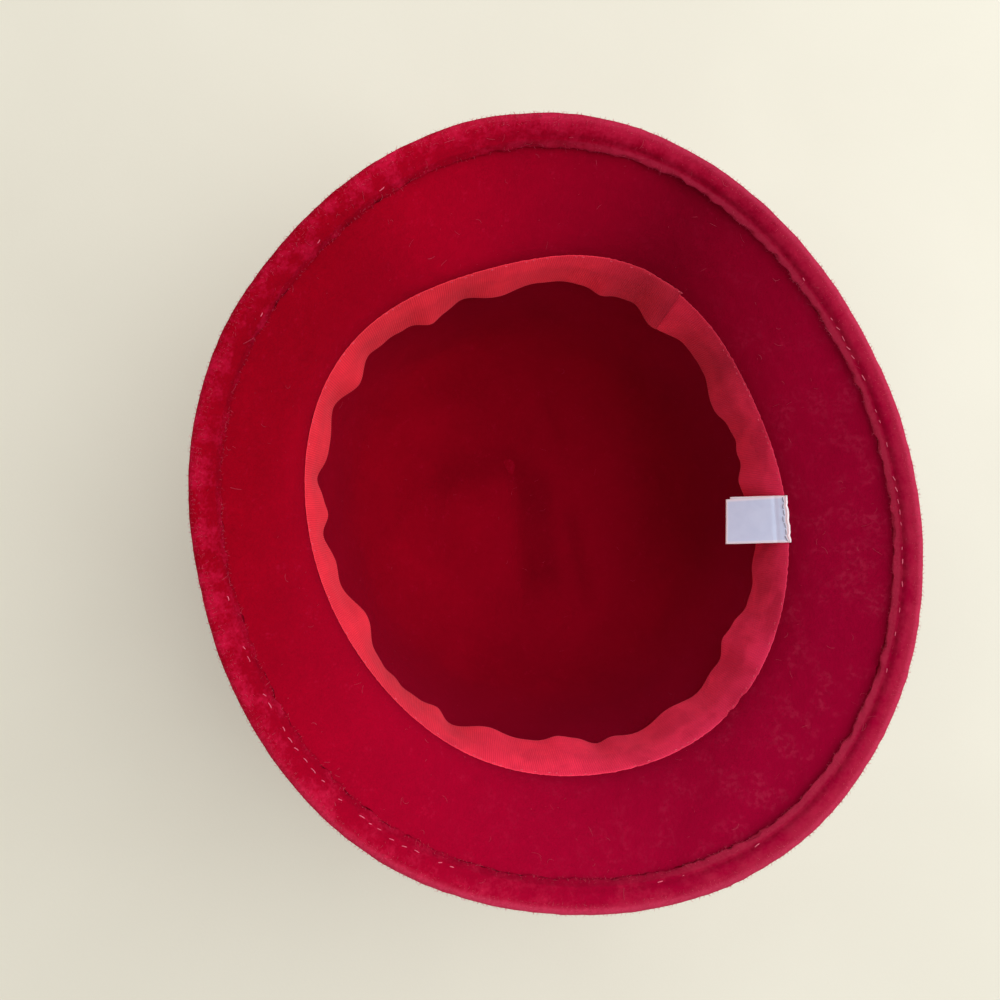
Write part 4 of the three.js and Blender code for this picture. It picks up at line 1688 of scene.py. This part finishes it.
@dataclass
class WoolFibres:
    """Loose wool: fuzz that stands off edges, nap on the outer face, and curled lint on the felt."""

    felt: FeltBody
    fuzz: Tuft = Tuft(8800, (0.3, 0.95), (0.2, 1.1), 0.5, 0.04, 0.45, 4)
    nap: Tuft = Tuft(13600, (0.3, 0.75), (0.6, 3.0), 0.7, 0.045, 0.5, 3)
    root_depth: float = 0.1
    radius_range: Span = (0.7, 1.3)
    sides: int = 3
    floor_clearance: float = 10.0
    fuzz_base: float = 0.02
    fuzz_near_fold: float = 0.2
    fuzz_on_fold: float = 2.4
    fuzz_fold_from: float = 0.92
    fuzz_on_edge: float = 0.8
    fuzz_outside: float = 0.05
    fuzz_height: float = 60.0
    nap_clearance: float = 4.0
    lint_count: int = 220
    lint_length: Span = (1.0, 4.0)
    lint_radius: float = 0.042
    lint_radius_range: Span = (0.7, 1.4)
    lint_hook: float = 1.3
    lint_straight: float = 0.05
    lint_lift: float = 0.1
    lint_dive: float = 0.25
    lint_stations: int = 8
    lint_height: float = 118.0
    lint_inside: float = 0.25
    lint_on_edge: float = 0.7
    lint_on_flap: float = 0.5
    lint_outside: float = 0.12
    seed: int = 31

    def _heights(self) -> Array:
        """Height of each row of the felt."""
        return self.felt.grid[:, 0, 2]

    def _roots(
        self, draw: np.random.Generator, weight: Array, count: int, between: bool = False,
    ) -> tuple[Array, ...]:
        """Picks points of the felt.

        Args:
            draw: Where random numbers come from.
            weight: How likely each row of the felt is.
            count: How many points to pick.
            between: Whether the points lie anywhere between a row and the next.

        Returns:
            Points, directions out of the felt, and two directions along it.
        """
        felt = self.felt
        row = draw.choice(len(weight), count, p=weight / weight.sum())
        column = draw.integers(0, felt.columns, count)
        point, out = felt.grid[row, column], felt.normals[row, column]
        if between:
            share = draw.random((count, 1))
            point = mix(point, felt.grid[row + 1, column], share)
            out = unit(mix(out, felt.normals[row + 1, column], share))
        along = unit(np.cross(out, draw.normal(size=(count, 3))))
        return point, out, along, np.cross(out, along)

    def _stand(
        self, name: str, tuft: Tuft, seed: int, weight: Array, finish: ThreadFinish,
        between: bool = False,
    ) -> bpy.types.Object:
        """Builds and dresses fibres that stand off the felt.

        Args:
            name: The piece's name.
            tuft: The fibres' sizes.
            seed: Start of the random numbers.
            weight: How likely each row of the felt is.
            finish: The fibres' finish.
            between: Whether the fibres root anywhere between a row and the next.

        Returns:
            The fibres as one piece.
        """
        draw = np.random.default_rng(seed)
        point, out, along, across = self._roots(draw, weight, tuft.count, between)
        length = draw.uniform(*tuft.length, tuft.count)[:, None]
        lean = draw.uniform(*tuft.lean, tuft.count)[:, None]
        curl = draw.normal(0.0, tuft.curl, tuft.count)[:, None]
        root = point - self.root_depth * out
        stations = [
            root + length * (share * (out + lean * share * along) + curl * share**2 * across)
            for share in np.linspace(0.0, 1.0, tuft.stations)
        ]
        taper = np.linspace(1.0, tuft.tip_share, tuft.stations)
        radii = tuft.radius * draw.uniform(*self.radius_range, tuft.count)[:, None] * taper
        return spin(name, np.stack(stations, axis=1), radii, self.sides, finish, Slot.FELT)

    def build_fuzz(self, finish: ThreadFinish) -> bpy.types.Object:
        """Builds and dresses the fuzz.

        Args:
            finish: The fibres' finish.

        Returns:
            The fuzz as one piece.
        """
        rows, height = self.felt.profile, self._heights()
        weight = self.fuzz_base + self.fuzz_near_fold * rows.fold_share
        weight += self.fuzz_on_fold * (rows.fold_share > self.fuzz_fold_from)
        weight += self.fuzz_on_edge * rows.edge_share
        outside = self.fuzz_outside * (1 - rows.inside) * (height > self.floor_clearance)
        weight = np.where(height > self.fuzz_height, weight, outside)
        return self._stand("felt_fuzz", self.fuzz, self.seed, weight, finish)

    def build_nap(self, finish: ThreadFinish) -> bpy.types.Object:
        """Builds and dresses the nap of the outer face, clear of the floor.

        Args:
            finish: The fibres' finish.

        Returns:
            The nap as one piece.
        """
        grid = self.felt.grid
        step = np.linalg.norm(np.diff(grid, axis=0, append=grid[-1:]), axis=-1).mean(axis=1)
        around = np.linalg.norm(np.roll(grid, -1, axis=1) - grid, axis=-1).sum(axis=1)
        clear = self._heights() > self.nap_clearance
        weight = step * around * self.felt.profile.outer() * clear
        return self._stand("felt_nap", self.nap, self.seed + 2, weight, finish, between=True)

    def build_lint(self, finish: ThreadFinish) -> bpy.types.Object:
        """Builds and dresses the lint, in arcs that lie on the felt and dive in at both ends.

        Args:
            finish: The fibres' finish.

        Returns:
            The lint as one piece.
        """
        draw = np.random.default_rng(self.seed + 1)
        rows, height, count = self.felt.profile, self._heights(), self.lint_count
        weight = rows.inside * (height > self.lint_height) + self.lint_inside * rows.inside
        weight += self.lint_on_edge * rows.edge_share + self.lint_on_flap * (rows.from_fold >= 0)
        weight += self.lint_outside * (1 - rows.inside) * (height > self.floor_clearance)
        point, out, along, across = self._roots(draw, weight, count)
        length = draw.uniform(*self.lint_length, count)[:, None]
        hook = draw.normal(0.0, self.lint_hook, count)[:, None]
        hooked = np.abs(hook) > self.lint_straight
        bend = np.where(hooked, hook, 1.0)
        stations = []
        for share in np.linspace(-0.5, 0.5, self.lint_stations):
            x = length * np.where(hooked, np.sin(bend * share) / bend, share)
            y = length * np.where(hooked, (1 - np.cos(bend * share)) / bend, 0.0)
            lift = self.lint_lift - self.lint_dive * abs(share)
            stations.append(point + x * along + y * across + lift * out)
        radii = self.lint_radius * draw.uniform(*self.lint_radius_range, count)
        radii = np.repeat(radii[:, None], self.lint_stations, axis=1)
        return spin("felt_lint", np.stack(stations, axis=1), radii, self.sides, finish, Slot.FELT)


@dataclass(frozen=True)
class Fold:
    """One fold of the sweatband's free edge and the hollow after it."""

    crest: float
    lean: float
    hollow: float
    hollow_lean: float


@dataclass
class Sweatband:
    """Ribbed ribbon sewn round the head line by one edge, its other edge free and wavy."""

    form: HatForm
    thickness: float = 0.55
    sewn_thickness: float = 0.14
    sewn_height: float = 114.85
    sewn_tilt: float = 0.75
    sewn_tilt_angle: float = 150.0
    free_height: float = 91.5
    lean_power: float = 1.2
    stand_off_sewn: float = 0.22
    stand_off_free: float = 1.3
    seam_release: float = 3.0
    lap_angle: float = 37.0
    lap_span: float = 5.0
    lap_ramp: float = 7.0
    lap_inset: float = 0.6
    lap_slant: float = 1.8
    lap_slant_span: float = 14.0
    lap_thin_share: float = 0.3
    lap_thin_span: float = 3.0
    lap_rise: float = 1.0
    lap_rise_span: float = 16.0
    # Painted shade on the upper end where the ends lap, which turns away from the lamp.
    lap_painted_shade: float = -0.32
    lap_painted_shade_span: Span = (7.5, 25.0)
    under_end_dip: float = 1.0
    under_dip_span: Span = (347.0, 361.0)
    edge_waver: float = 0.08
    edge_waves: Unevenness = Unevenness(1.9, 42)
    flat_width: float = 24.5
    flat_length: float = 584.0
    rib_pitch: float = 0.8
    rib_height: float = 0.07
    columns_per_rib: int = 4
    face_rows: int = 15
    back_rows: int = 4
    selvedge_width: float = 1.1
    selvedge_full: float = 0.6
    selvedge_flatness: float = 0.75
    ripple: float = 0.28
    ripple_crests: int = 41
    ripple_wander: float = 2.2
    ripple_wanders: int = 7
    # Painted light and shade round the band by angle.
    tones: tuple[Stretch, ...] = (
        Stretch(72, 15, 0.18), Stretch(20, 11, -0.27), Stretch(163, 22, 0.08), Stretch(246, 22, 0.12),
    )
    folds: tuple[Fold, ...] = (
        Fold(11.5, 4.4, 19, 0.7), Fold(24, 0.7, 28.5, 0.4), Fold(37.5, 5.2, 46, 1.7),
        Fold(53.5, 4, 62, 1.2), Fold(66, 1.4, 70, 1.2), Fold(79.5, 4.2, 90, 1.8),
        Fold(99, 5.7, 106, 2.5), Fold(109, 2.5, 115.5, 1.7), Fold(123.5, 5.1, 132, 1),
        Fold(141.5, 3.5, 149.5, 0.2), Fold(157, 3.5, 164, 0.7), Fold(170.5, 3.3, 176.5, 1.6),
        Fold(186, 6, 199, 0.3), Fold(204, 0.2, 210, 0.2), Fold(218, 2.4, 222.5, 0.3),
        Fold(234, 5.1, 242, 3.5), Fold(252.5, 5.8, 261, 1.9), Fold(265.5, 2.9, 271, 1.2),
        Fold(279, 3.9, 288, 1.6), Fold(294, 2.4, 297, 2.4), Fold(303.5, 5.3, 317, 0.2),
        Fold(325, 1.1, 331, 0.4), Fold(347, 4.6, 354, 1.8), Fold(356, 1.8, 360, 0.8),
    )

    def lean(self, degrees: Array) -> Array:
        """Works out how far the free edge leans into the hat.

        Args:
            degrees: Angles about the hat's axis, in degrees.

        Returns:
            The lean at each angle, smooth from crest to hollow.
        """
        at, lean = [0.0], [self.folds[-1].hollow_lean]
        for fold in self.folds:
            at += [fold.crest, fold.hollow]
            lean += [fold.lean, fold.hollow_lean]
        at, lean = np.array(at), np.array(lean)
        angle = np.mod(degrees, 360.0)
        after = np.clip(np.searchsorted(at, angle), 1, len(at) - 1)
        return mix(lean[after - 1], lean[after], smooth_step(angle, at[after - 1], at[after]))

    def lap_thinning(self, along: Array) -> Array:
        """Share of the full thickness that the upper end keeps, at degrees from the ribbon's start."""
        return mix(self.lap_thin_share, 1.0, smooth_step(along, 0.0, self.lap_thin_span))

    def off_seam(self, down: Array) -> Array:
        """Share to which the ribbon is free of its seam, at shares of the width."""
        return np.minimum(1.0, down * self.seam_release)

    def place(self, along: Array, down: Array, inward: Array) -> Array:
        """Brings points of the flat ribbon into the hat.

        Args:
            along: Degrees from the ribbon's start.
            down: Shares of the width from the sewn edge to the free edge.
            inward: How far the points lie into the hat from the ribbon's face. It is below 0 at the back.

        Returns:
            The points in the hat.
        """
        slanted = self.lap_slant * (1 - smooth_step(along, 0.0, self.lap_slant_span)) * (1 - down)
        degrees = self.lap_angle + along + slanted
        turn = np.radians(degrees)
        past_lap = smooth_step(along, self.lap_span, self.lap_span + self.lap_ramp)
        lap_share = self.lap_thinning(along) * (1 - past_lap)
        stand_off = mix(self.stand_off_sewn, self.stand_off_free, self.off_seam(down))
        wander = self.ripple_wander * np.sin(turn * self.ripple_wanders)
        flutter = self.ripple * down**2 * np.sin(turn * self.ripple_crests + wander)
        lean = self.lean(degrees) * down**self.lean_power + flutter
        raised = self.lap_rise * (1 - smooth_step(along, 0.0, self.lap_rise_span))
        lowered = self.under_end_dip * smooth_step(along, *self.under_dip_span)
        edge = self.form.place(self.form.wall_radius, self.sewn_height, turn)
        waver = self.edge_waver * self.edge_waves.at(edge) * (1 - down)
        tilted = self.sewn_tilt * np.cos(turn - math.radians(self.sewn_tilt_angle))
        sewn = self.sewn_height - tilted + raised - lowered + waver
        height = mix(sewn, self.free_height, down)
        wall = self.form.wall_radius + self.form.flare(height)
        radius = wall - stand_off - lean - self.lap_inset * lap_share - inward
        return self.form.place(radius, height, turn)

    def build(self, finish: RibbonFinish) -> bpy.types.Object:
        """Builds and dresses the ribbon.

        Args:
            finish: The ribbon's finish.

        Returns:
            The piece that stands for the sweatband's solid.
        """
        ribs = int(self.flat_length / self.rib_pitch)
        along_flat = np.arange(ribs * self.columns_per_rib + 1) / self.columns_per_rib * self.rib_pitch
        along = along_flat / along_flat[-1] * (360.0 + self.lap_span)
        margin = self.selvedge_width / self.flat_width
        edge_rows = np.array([margin, margin / 3])
        even_rows = np.linspace(1.0, 0.0, self.face_rows)
        face = np.sort(np.concatenate([even_rows, edge_rows, 1 - edge_rows]))[::-1]
        down = np.concatenate([face, np.linspace(0.0, 1.0, self.back_rows)])
        on_face = np.arange(len(down)) < len(face)
        from_edge = np.minimum(down, 1 - down) * self.flat_width
        full_until = self.selvedge_width * self.selvedge_full
        selvedge = 1 - smooth_step(from_edge, full_until, self.selvedge_width)
        rib = np.cos(along_flat / self.rib_pitch * FULL_TURN)[:, None]
        ribbed = self.rib_height * rib * (1 - self.selvedge_flatness * selvedge)
        thick = mix(self.sewn_thickness, self.thickness, self.off_seam(down))
        inward = np.where(on_face, ribbed, -thick * self.lap_thinning(along)[:, None])
        grid = self.place(along[:, None], down[None, :], inward)
        draft = MeshDraft()
        first = draft.add_grid(grid, close_columns=True)
        draft.add_ends(first, len(along), len(down))
        # The band's painted light and shade, darkest at the lap.
        tone = total(self.tones, np.radians(self.lap_angle + along))
        tone += self.lap_painted_shade * (1 - smooth_step(along, *self.lap_painted_shade_span))
        values = {
            Mask.SELVEDGE: selvedge,
            Mask.ALONG: along_flat[:, None] + self.rib_pitch / 4,
            Mask.ACROSS: down * self.flat_width,
            Mask.TONE: tone[:, None],
        }
        masks = {mask: np.broadcast_to(value, grid.shape[:2]) for mask, value in values.items()}
        piece = draft.to_object("ribbon_sweatband", finish.material(), masks)
        settle(piece, Slot.RIBBON, "sweatband")
        return piece


@dataclass
class BandSeam:
    """Stitches along the sweatband's sewn edge, and loose thread ends where its ends lap."""

    band: Sweatband
    pitch_degrees: float = 1.6
    lap_margin: float = 1.0
    last_stitch: float = 359.0
    from_edge: float = 0.9
    edge_spread: float = 0.3
    thread_radius: float = 0.12
    stitch_share: float = 0.4
    length_range: Span = (0.7, 1.2)
    shown_share: float = 0.45
    lift: float = 0.09
    dive: float = 0.34
    stations: int = 7
    sides: int = 6
    loose_ends: int = 3
    end_reach: Span = (0.8, 1.8)
    end_sway: Span = (-1.6, 1.6)
    end_root: Span = (-0.3, 0.8)
    end_down: float = 0.03
    end_inward: float = 0.25
    end_side_sway: float = -0.7
    end_rise: float = 2.4
    end_droop: float = 0.4
    end_sides: int = 5
    seed: int = 41

    def stitch_paths(self, draw: np.random.Generator) -> Array:
        """Draws the stitches along the sewn edge.

        Args:
            draw: Where random numbers come from.

        Returns:
            Their middle lines.
        """
        band = self.band
        count = int(360.0 / self.pitch_degrees)
        middle = band.lap_span + self.lap_margin + np.arange(count) * self.pitch_degrees
        middle = middle[(middle < self.last_stitch) & (draw.random(count) < self.shown_share)]
        count = len(middle)
        share = np.linspace(-1.0, 1.0, self.stations)
        length = self.pitch_degrees * self.stitch_share * draw.uniform(*self.length_range, count)
        along = middle[:, None] + length[:, None] / 2 * share
        edge = self.from_edge + draw.normal(0.0, self.edge_spread, count)
        down = np.broadcast_to((edge / band.flat_width)[:, None], along.shape)
        lift = self.lift - self.dive * np.abs(share) ** 3
        return band.place(along, down, np.broadcast_to(lift, along.shape))

    def end_path(self, draw: np.random.Generator) -> Array:
        """Draws one loose thread end at the lap.

        Args:
            draw: Where random numbers come from.

        Returns:
            Its middle line.
        """
        reach, sway = draw.uniform(*self.end_reach), draw.uniform(*self.end_sway)
        along = draw.uniform(*self.end_root)
        root = self.band.place(np.array(along), np.array(self.end_down), np.array(self.end_inward))
        steps = np.linspace(0.0, 1.0, self.stations)
        rise = self.end_rise * reach * steps * (1 - self.end_droop * steps)
        return root + np.stack([sway * steps**2, self.end_side_sway * sway * steps, rise], axis=-1)

    def build(self, finish: ThreadFinish) -> bpy.types.Object:
        """Builds and dresses the seam.

        Args:
            finish: The thread's finish.

        Returns:
            The seam as one piece.
        """
        draw = np.random.default_rng(self.seed)
        draft = MeshDraft()
        stitches = self.stitch_paths(draw)
        draft.add_tubes(stitches, np.full(stitches.shape[:2], self.thread_radius), self.sides)
        ends = np.array([self.end_path(draw) for _ in range(self.loose_ends)])
        draft.add_tubes(ends, np.full(ends.shape[:2], self.thread_radius), self.end_sides)
        piece = draft.to_object("sweatband_seam", finish.material())
        settle(piece, Slot.RIBBON)
        return piece


@dataclass(frozen=True)
class Ripple:
    """A ripple across the label: its share, its turn in radians for each millimetre and its phase."""

    share: float
    number: float
    phase: float = 0.0

    def at(self, across: Array) -> Array:
        """Height of the ripple at distances across the label."""
        return self.share * np.sin(self.number * across + self.phase)


@dataclass
class Label:
    """Satin ribbon folded into two leaves and sewn by its fold to the sweatband's edge."""

    form: HatForm
    band_face: float = 89.8
    angle: float = -23.1
    width: float = 17.5
    length: float = 25.4
    back_shorter: float = 1.5
    back_askew: float = 0.9
    thickness: float = 0.24
    leaves_apart: float = 0.6
    top_height: float = 116.7
    sewn_length: float = 0.2
    bend_radius: float = 1.0
    droop: float = 50.4
    twist: float = 5.8
    stand_off: float = -1.65
    sag: float = 0.35
    dent: float = 0.22
    dent_from_fold: float = 5.0
    dent_half: float = 0.7
    cup: float = 0.5
    sealed_edge: float = 0.75
    sealed_fade: Span = (0.375, 1.05)
    fold_fade: Span = (0.6, 1.2)
    fold_waver: float = 0.32
    fold_waver_reach: float = 2.0
    fold_ripples: tuple[Ripple, ...] = (Ripple(0.6, 1.1, 1.0), Ripple(0.4, 2.3))
    sewn_points: int = 8
    bend_points: int = 24
    straight_points: int = 40
    back_rows: int = 44
    fold_rows: int = 9
    front_rows: int = 46
    across_rows: int = 15
    stitches: int = 7
    stitched_share: float = 0.96
    stitch_half: float = 0.47
    stitch_from_fold: float = 1.3
    stitch_drift: float = 0.22
    stitch_slant: float = 0.25
    stitch_lift: float = 0.12
    stitch_dive: float = 0.4
    stitch_stations: int = 9
    stitch_sides: int = 6
    thread_radius: float = 0.16
    seed: int = 51

    def leaf(self, offset: float, length: float) -> Line:
        """Draws the middle line of one leaf from its sewn end to its free end.

        Args:
            offset: How far the leaf stands off the back leaf.
            length: The leaf's length.

        Returns:
            A line whose x runs into the hat and whose y is the height.
        """
        droop = math.radians(self.droop)
        sewn_top = self.top_height - self.leaves_apart / 2 - self.thickness / 2
        sewn = np.linspace(sewn_top, sewn_top - self.sewn_length, self.sewn_points)[:-1]
        top = np.stack([np.full(len(sewn), offset), sewn], axis=1)
        centre = np.array([self.bend_radius, sewn_top - self.sewn_length])
        turn = np.linspace(0.0, QUARTER_TURN - droop, self.bend_points)[:, None]
        spoke = np.concatenate([np.cos(turn), np.sin(turn)], axis=1)
        bend = centre + (offset - self.bend_radius) * spoke
        bent_length = self.sewn_length + (QUARTER_TURN - droop) * self.bend_radius
        straight = np.linspace(0.0, length - bent_length, self.straight_points)[1:, None]
        heading = np.array([math.cos(droop), -math.sin(droop)])
        square = np.array([-heading[1], heading[0]])
        sag = self.sag * (straight / straight[-1]) ** 2
        dent = self.dent * bell(straight + bent_length, self.dent_from_fold, self.dent_half)
        hanging = bend[-1] + straight * heading - (sag + dent) * square
        return Line(np.concatenate([top, bend, hanging]))

    def axes(self) -> tuple[Array, Array, Array]:
        """Works out how the label sits on the sweatband.

        Returns:
            Its seat, and the directions across it and into the hat.
        """
        angle = math.radians(self.angle)
        half_span = self.width / 2 / self.form.head_radius
        height = self.form.head_line_height
        ends = self.form.place(self.band_face, height, np.array([angle - half_span, angle + half_span]))
        across = unit(ends[0] - ends[1])
        inward = np.array([across[1], -across[0], 0.0])
        seat = self.form.place(self.band_face, height, np.array(angle)) + inward * self.stand_off
        return seat, across, inward

    def set_in(self, flat: Array, across: Array, along: Array) -> Array:
        """Brings points beside the label's middle line into the hat.

        Args:
            flat: Points with x into the hat and y as the height.
            across: Distances across the label.
            along: Distances from the sewn fold, which the twist grows with.

        Returns:
            The points in the hat.
        """
        seat, side, inward = self.axes()
        twisted = across * math.tan(math.radians(self.twist)) * along / self.length
        wavy = sum(ripple.at(across) for ripple in self.fold_ripples)
        twisted = twisted + self.fold_waver * wavy * bell(along, 0.0, self.fold_waver_reach)
        deep = flat[..., :1] + twisted[..., None]
        level = np.array([seat[0], seat[1], 0.0]) + deep * inward + across[..., None] * side
        return level + flat[..., 1:] * np.array([0.0, 0.0, 1.0])

    def build(self, finish: SatinFinish) -> bpy.types.Object:
        """Builds and dresses the ribbon.

        Args:
            finish: The satin's finish.

        Returns:
            The piece that stands for the label's solid.
        """
        back = self.leaf(0.0, self.length - self.back_shorter)
        front = self.leaf(self.leaves_apart, self.length)
        back_at = np.linspace(back.length, 0.0, self.back_rows)
        front_at = np.linspace(0.0, front.length, self.front_rows)
        turn = np.linspace(math.pi, 0.0, self.fold_rows)[1:-1]
        fold_out = np.stack([np.cos(turn), np.sin(turn)], axis=1)
        fold = (back.points[0] + front.points[0]) / 2 + self.leaves_apart / 2 * fold_out
        points = np.concatenate([back.at(back_at), fold, front.at(front_at)])
        normals = np.concatenate([-back.left(back_at), fold_out, front.left(front_at)])
        along = np.concatenate([-back_at, np.zeros(len(turn)), front_at])
        from_fold = np.abs(along)[:, None]
        askew = self.back_askew * np.maximum(-along, 0.0)[:, None] / self.length
        margin = self.sealed_edge / self.width
        even_rows = np.linspace(-0.5, 0.5, self.across_rows)
        share = np.sort(np.concatenate([even_rows, [-0.5 + margin, 0.5 - margin]]))
        loop_share = np.concatenate([share, share[::-1]])
        loop_side = np.repeat([-0.5, 0.5], len(share))
        free_end = np.minimum(np.abs(along - along[0]), np.abs(along - along[-1]))[:, None]
        long_edge = (0.5 - np.abs(loop_share)) * self.width
        # Pale sealed edges with a painted highlight, and a painted highlight along the fold.
        sealed = 1 - smooth_step(np.minimum(free_end, long_edge), *self.sealed_fade)
        sealed = np.maximum(sealed, 1 - smooth_step(from_fold, *self.fold_fade))
        cup = self.cup * loop_share**2 * (from_fold / self.length) ** 2
        lift = loop_side * self.thickness + cup * np.sign(along)[:, None]
        flat = points[:, None, :] + normals[:, None, :] * lift[..., None]
        grid = self.set_in(flat, loop_share * self.width - askew, from_fold)
        draft = MeshDraft()
        first = draft.add_grid(grid, close_columns=True)
        draft.add_ends(first, len(along), len(loop_share))
        values = {
            Mask.SELVEDGE: sealed,
            Mask.ALONG: along[:, None],
            Mask.ACROSS: loop_share * self.width,
        }
        masks = {mask: np.broadcast_to(value, grid.shape[:2]) for mask, value in values.items()}
        piece = draft.to_object("satin_label", finish.material(), masks)
        settle(piece, Slot.LABEL, "label")
        return piece

    def build_stitches(self, finish: ThreadFinish) -> bpy.types.Object:
        """Builds and dresses the stitches through the label's sewn end.

        Args:
            finish: The thread's finish.

        Returns:
            The stitches as one piece.
        """
        draw = np.random.default_rng(self.seed)
        front = self.leaf(self.leaves_apart, self.length)
        count, seam_width = self.stitches, self.width * self.stitched_share
        middle = ((np.arange(count) + 0.5) / count - 0.5)[:, None]
        share = np.linspace(-1.0, 1.0, self.stitch_stations)
        across = middle * seam_width + seam_width / count * self.stitch_half * share
        drift = draw.normal(0.0, self.stitch_drift, count)[:, None]
        slant = self.stitch_slant * share * draw.choice([-1, 1], (count, 1))
        at = self.stitch_from_fold + drift + slant
        lift = self.thickness / 2 + self.stitch_lift - self.stitch_dive * share**4
        paths = self.set_in(front.at(at, np.broadcast_to(lift, at.shape)), across, at)
        radii = np.full(at.shape, self.thread_radius)
        return spin("label_stitches", paths, radii, self.stitch_sides, finish, Slot.LABEL)


@dataclass(frozen=True)
class SoftLamp:
    """A large soft lamp that faces the hat."""

    name: str
    heading: float
    elevation: float
    distance: float
    width: float
    watts: float
    colour: Colour

    def build(self, aim: Vector) -> None:
        """Sets the lamp up.

        Args:
            aim: The point that it faces, in metres.
        """
        data = bpy.data.lights.new(self.name, "AREA")
        data.shape = "DISK"
        data.size = self.width * MM
        data.energy = self.watts
        data.color = self.colour
        lamp = bpy.data.objects.new(self.name, data)
        bpy.context.scene.collection.objects.link(lamp)
        turn, rise = math.radians(self.heading), math.radians(self.elevation)
        level = math.cos(rise) * self.distance
        away = Vector((level * math.cos(turn), level * math.sin(turn), math.sin(rise) * self.distance))
        lamp.location = aim + away * MM
        lamp.rotation_euler = (-away).to_track_quat("-Z", "Y").to_euler()


@dataclass
class Studio:
    """Floor, lamps, sky and camera."""

    eye: Point = (-44.78, 22.63, 381.36)
    target: Point = (-15.84, 13.50, 116.0)
    roll: float = 22.0
    lens: float = 27.04
    sensor: float = 36.0
    clip_start: float = 10.0
    floor_half: float = 3000.0
    floor_points: int = 5
    sky: Colour = (0.90, 0.95, 1.0)
    sky_strength: float = 0.72
    lamp_aim: Point = (0.0, 0.0, 120.0)
    lamps: tuple[SoftLamp, ...] = (
        SoftLamp("window_side", 0.0, 58.0, 1300.0, 2000.0, 26.5, (0.90, 0.95, 1.0)),
        SoftLamp("room_side", 158.0, 35.0, 1500.0, 900.0, 1.6, (1.0, 0.72, 0.45)),
    )

    def build_floor(self, finish: FloorFinish) -> None:
        """Lays the floor that the hat stands on.

        Args:
            finish: The floor's finish.
        """
        draft = MeshDraft()
        reach = np.linspace(-self.floor_half, self.floor_half, self.floor_points)
        x, y = np.meshgrid(reach, reach)
        draft.add_grid(np.stack([x, y, np.zeros_like(x)], axis=-1))
        draft.to_object("studio_floor", finish.material())

    def build_light(self) -> None:
        """Sets up the sky and the lamps."""
        world = bpy.data.worlds.new("studio_sky")
        world.use_nodes = True
        background = world.node_tree.nodes["Background"]
        NodeSheet(world.node_tree).feed(background, {"Color": self.sky, "Strength": self.sky_strength})
        bpy.context.scene.world = world
        for lamp in self.lamps:
            lamp.build(Vector(self.lamp_aim) * MM)

    def build_camera(self) -> None:
        """Sets the camera up over the hat's opening."""
        data = bpy.data.cameras.new("photo_camera")
        data.sensor_width = self.sensor
        data.lens = self.lens
        data.clip_start = self.clip_start * MM
        camera = bpy.data.objects.new("photo_camera", data)
        bpy.context.scene.collection.objects.link(camera)
        eye, target = Vector(self.eye) * MM, Vector(self.target) * MM
        roll = math.radians(self.roll)
        back = (eye - target).normalized()
        right = Vector((math.sin(roll), math.cos(roll), 0.0)).cross(back).normalized()
        up = back.cross(right)
        turned = Matrix((right, up, back)).transposed().to_4x4()
        camera.matrix_world = Matrix.Translation(eye) @ turned
        bpy.context.scene.camera = camera


def main() -> None:
    """Builds the hat piece by piece, then its studio, and reports each piece."""
    logging.basicConfig(level=logging.INFO, format="%(name)s: %(message)s")
    bpy.context.scene.view_settings.view_transform = "Standard"
    form = HatForm()
    effects = SharedEffects()

    felt = FeltBody(form)
    fibres = WoolFibres(felt)
    pieces = [
        felt.build(FeltFinish(effects)),
        HemStitching(felt).build(ThreadFinish(effects, Dye.HEM)),
        fibres.build_fuzz(ThreadFinish(effects, Dye.FUZZ)),
        fibres.build_nap(ThreadFinish(effects, Dye.NAP)),
        fibres.build_lint(ThreadFinish(effects, Dye.LINT)),
    ]

    band = Sweatband(form)
    ribbon = band.build(RibbonFinish(effects))
    seam = BandSeam(band).build(ThreadFinish(effects, Dye.BAND))

    label = Label(form)
    satin = label.build(SatinFinish(effects))
    label_seam = label.build_stitches(ThreadFinish(effects, Dye.LABEL))

    for piece in (*pieces, ribbon, seam, satin, label_seam):
        LOG.info("%s: %d faces", piece.name, len(piece.data.polygons))

    studio = Studio()
    studio.build_floor(FloorFinish())
    studio.build_light()
    studio.build_camera()


if __name__ == "__main__":
    main()
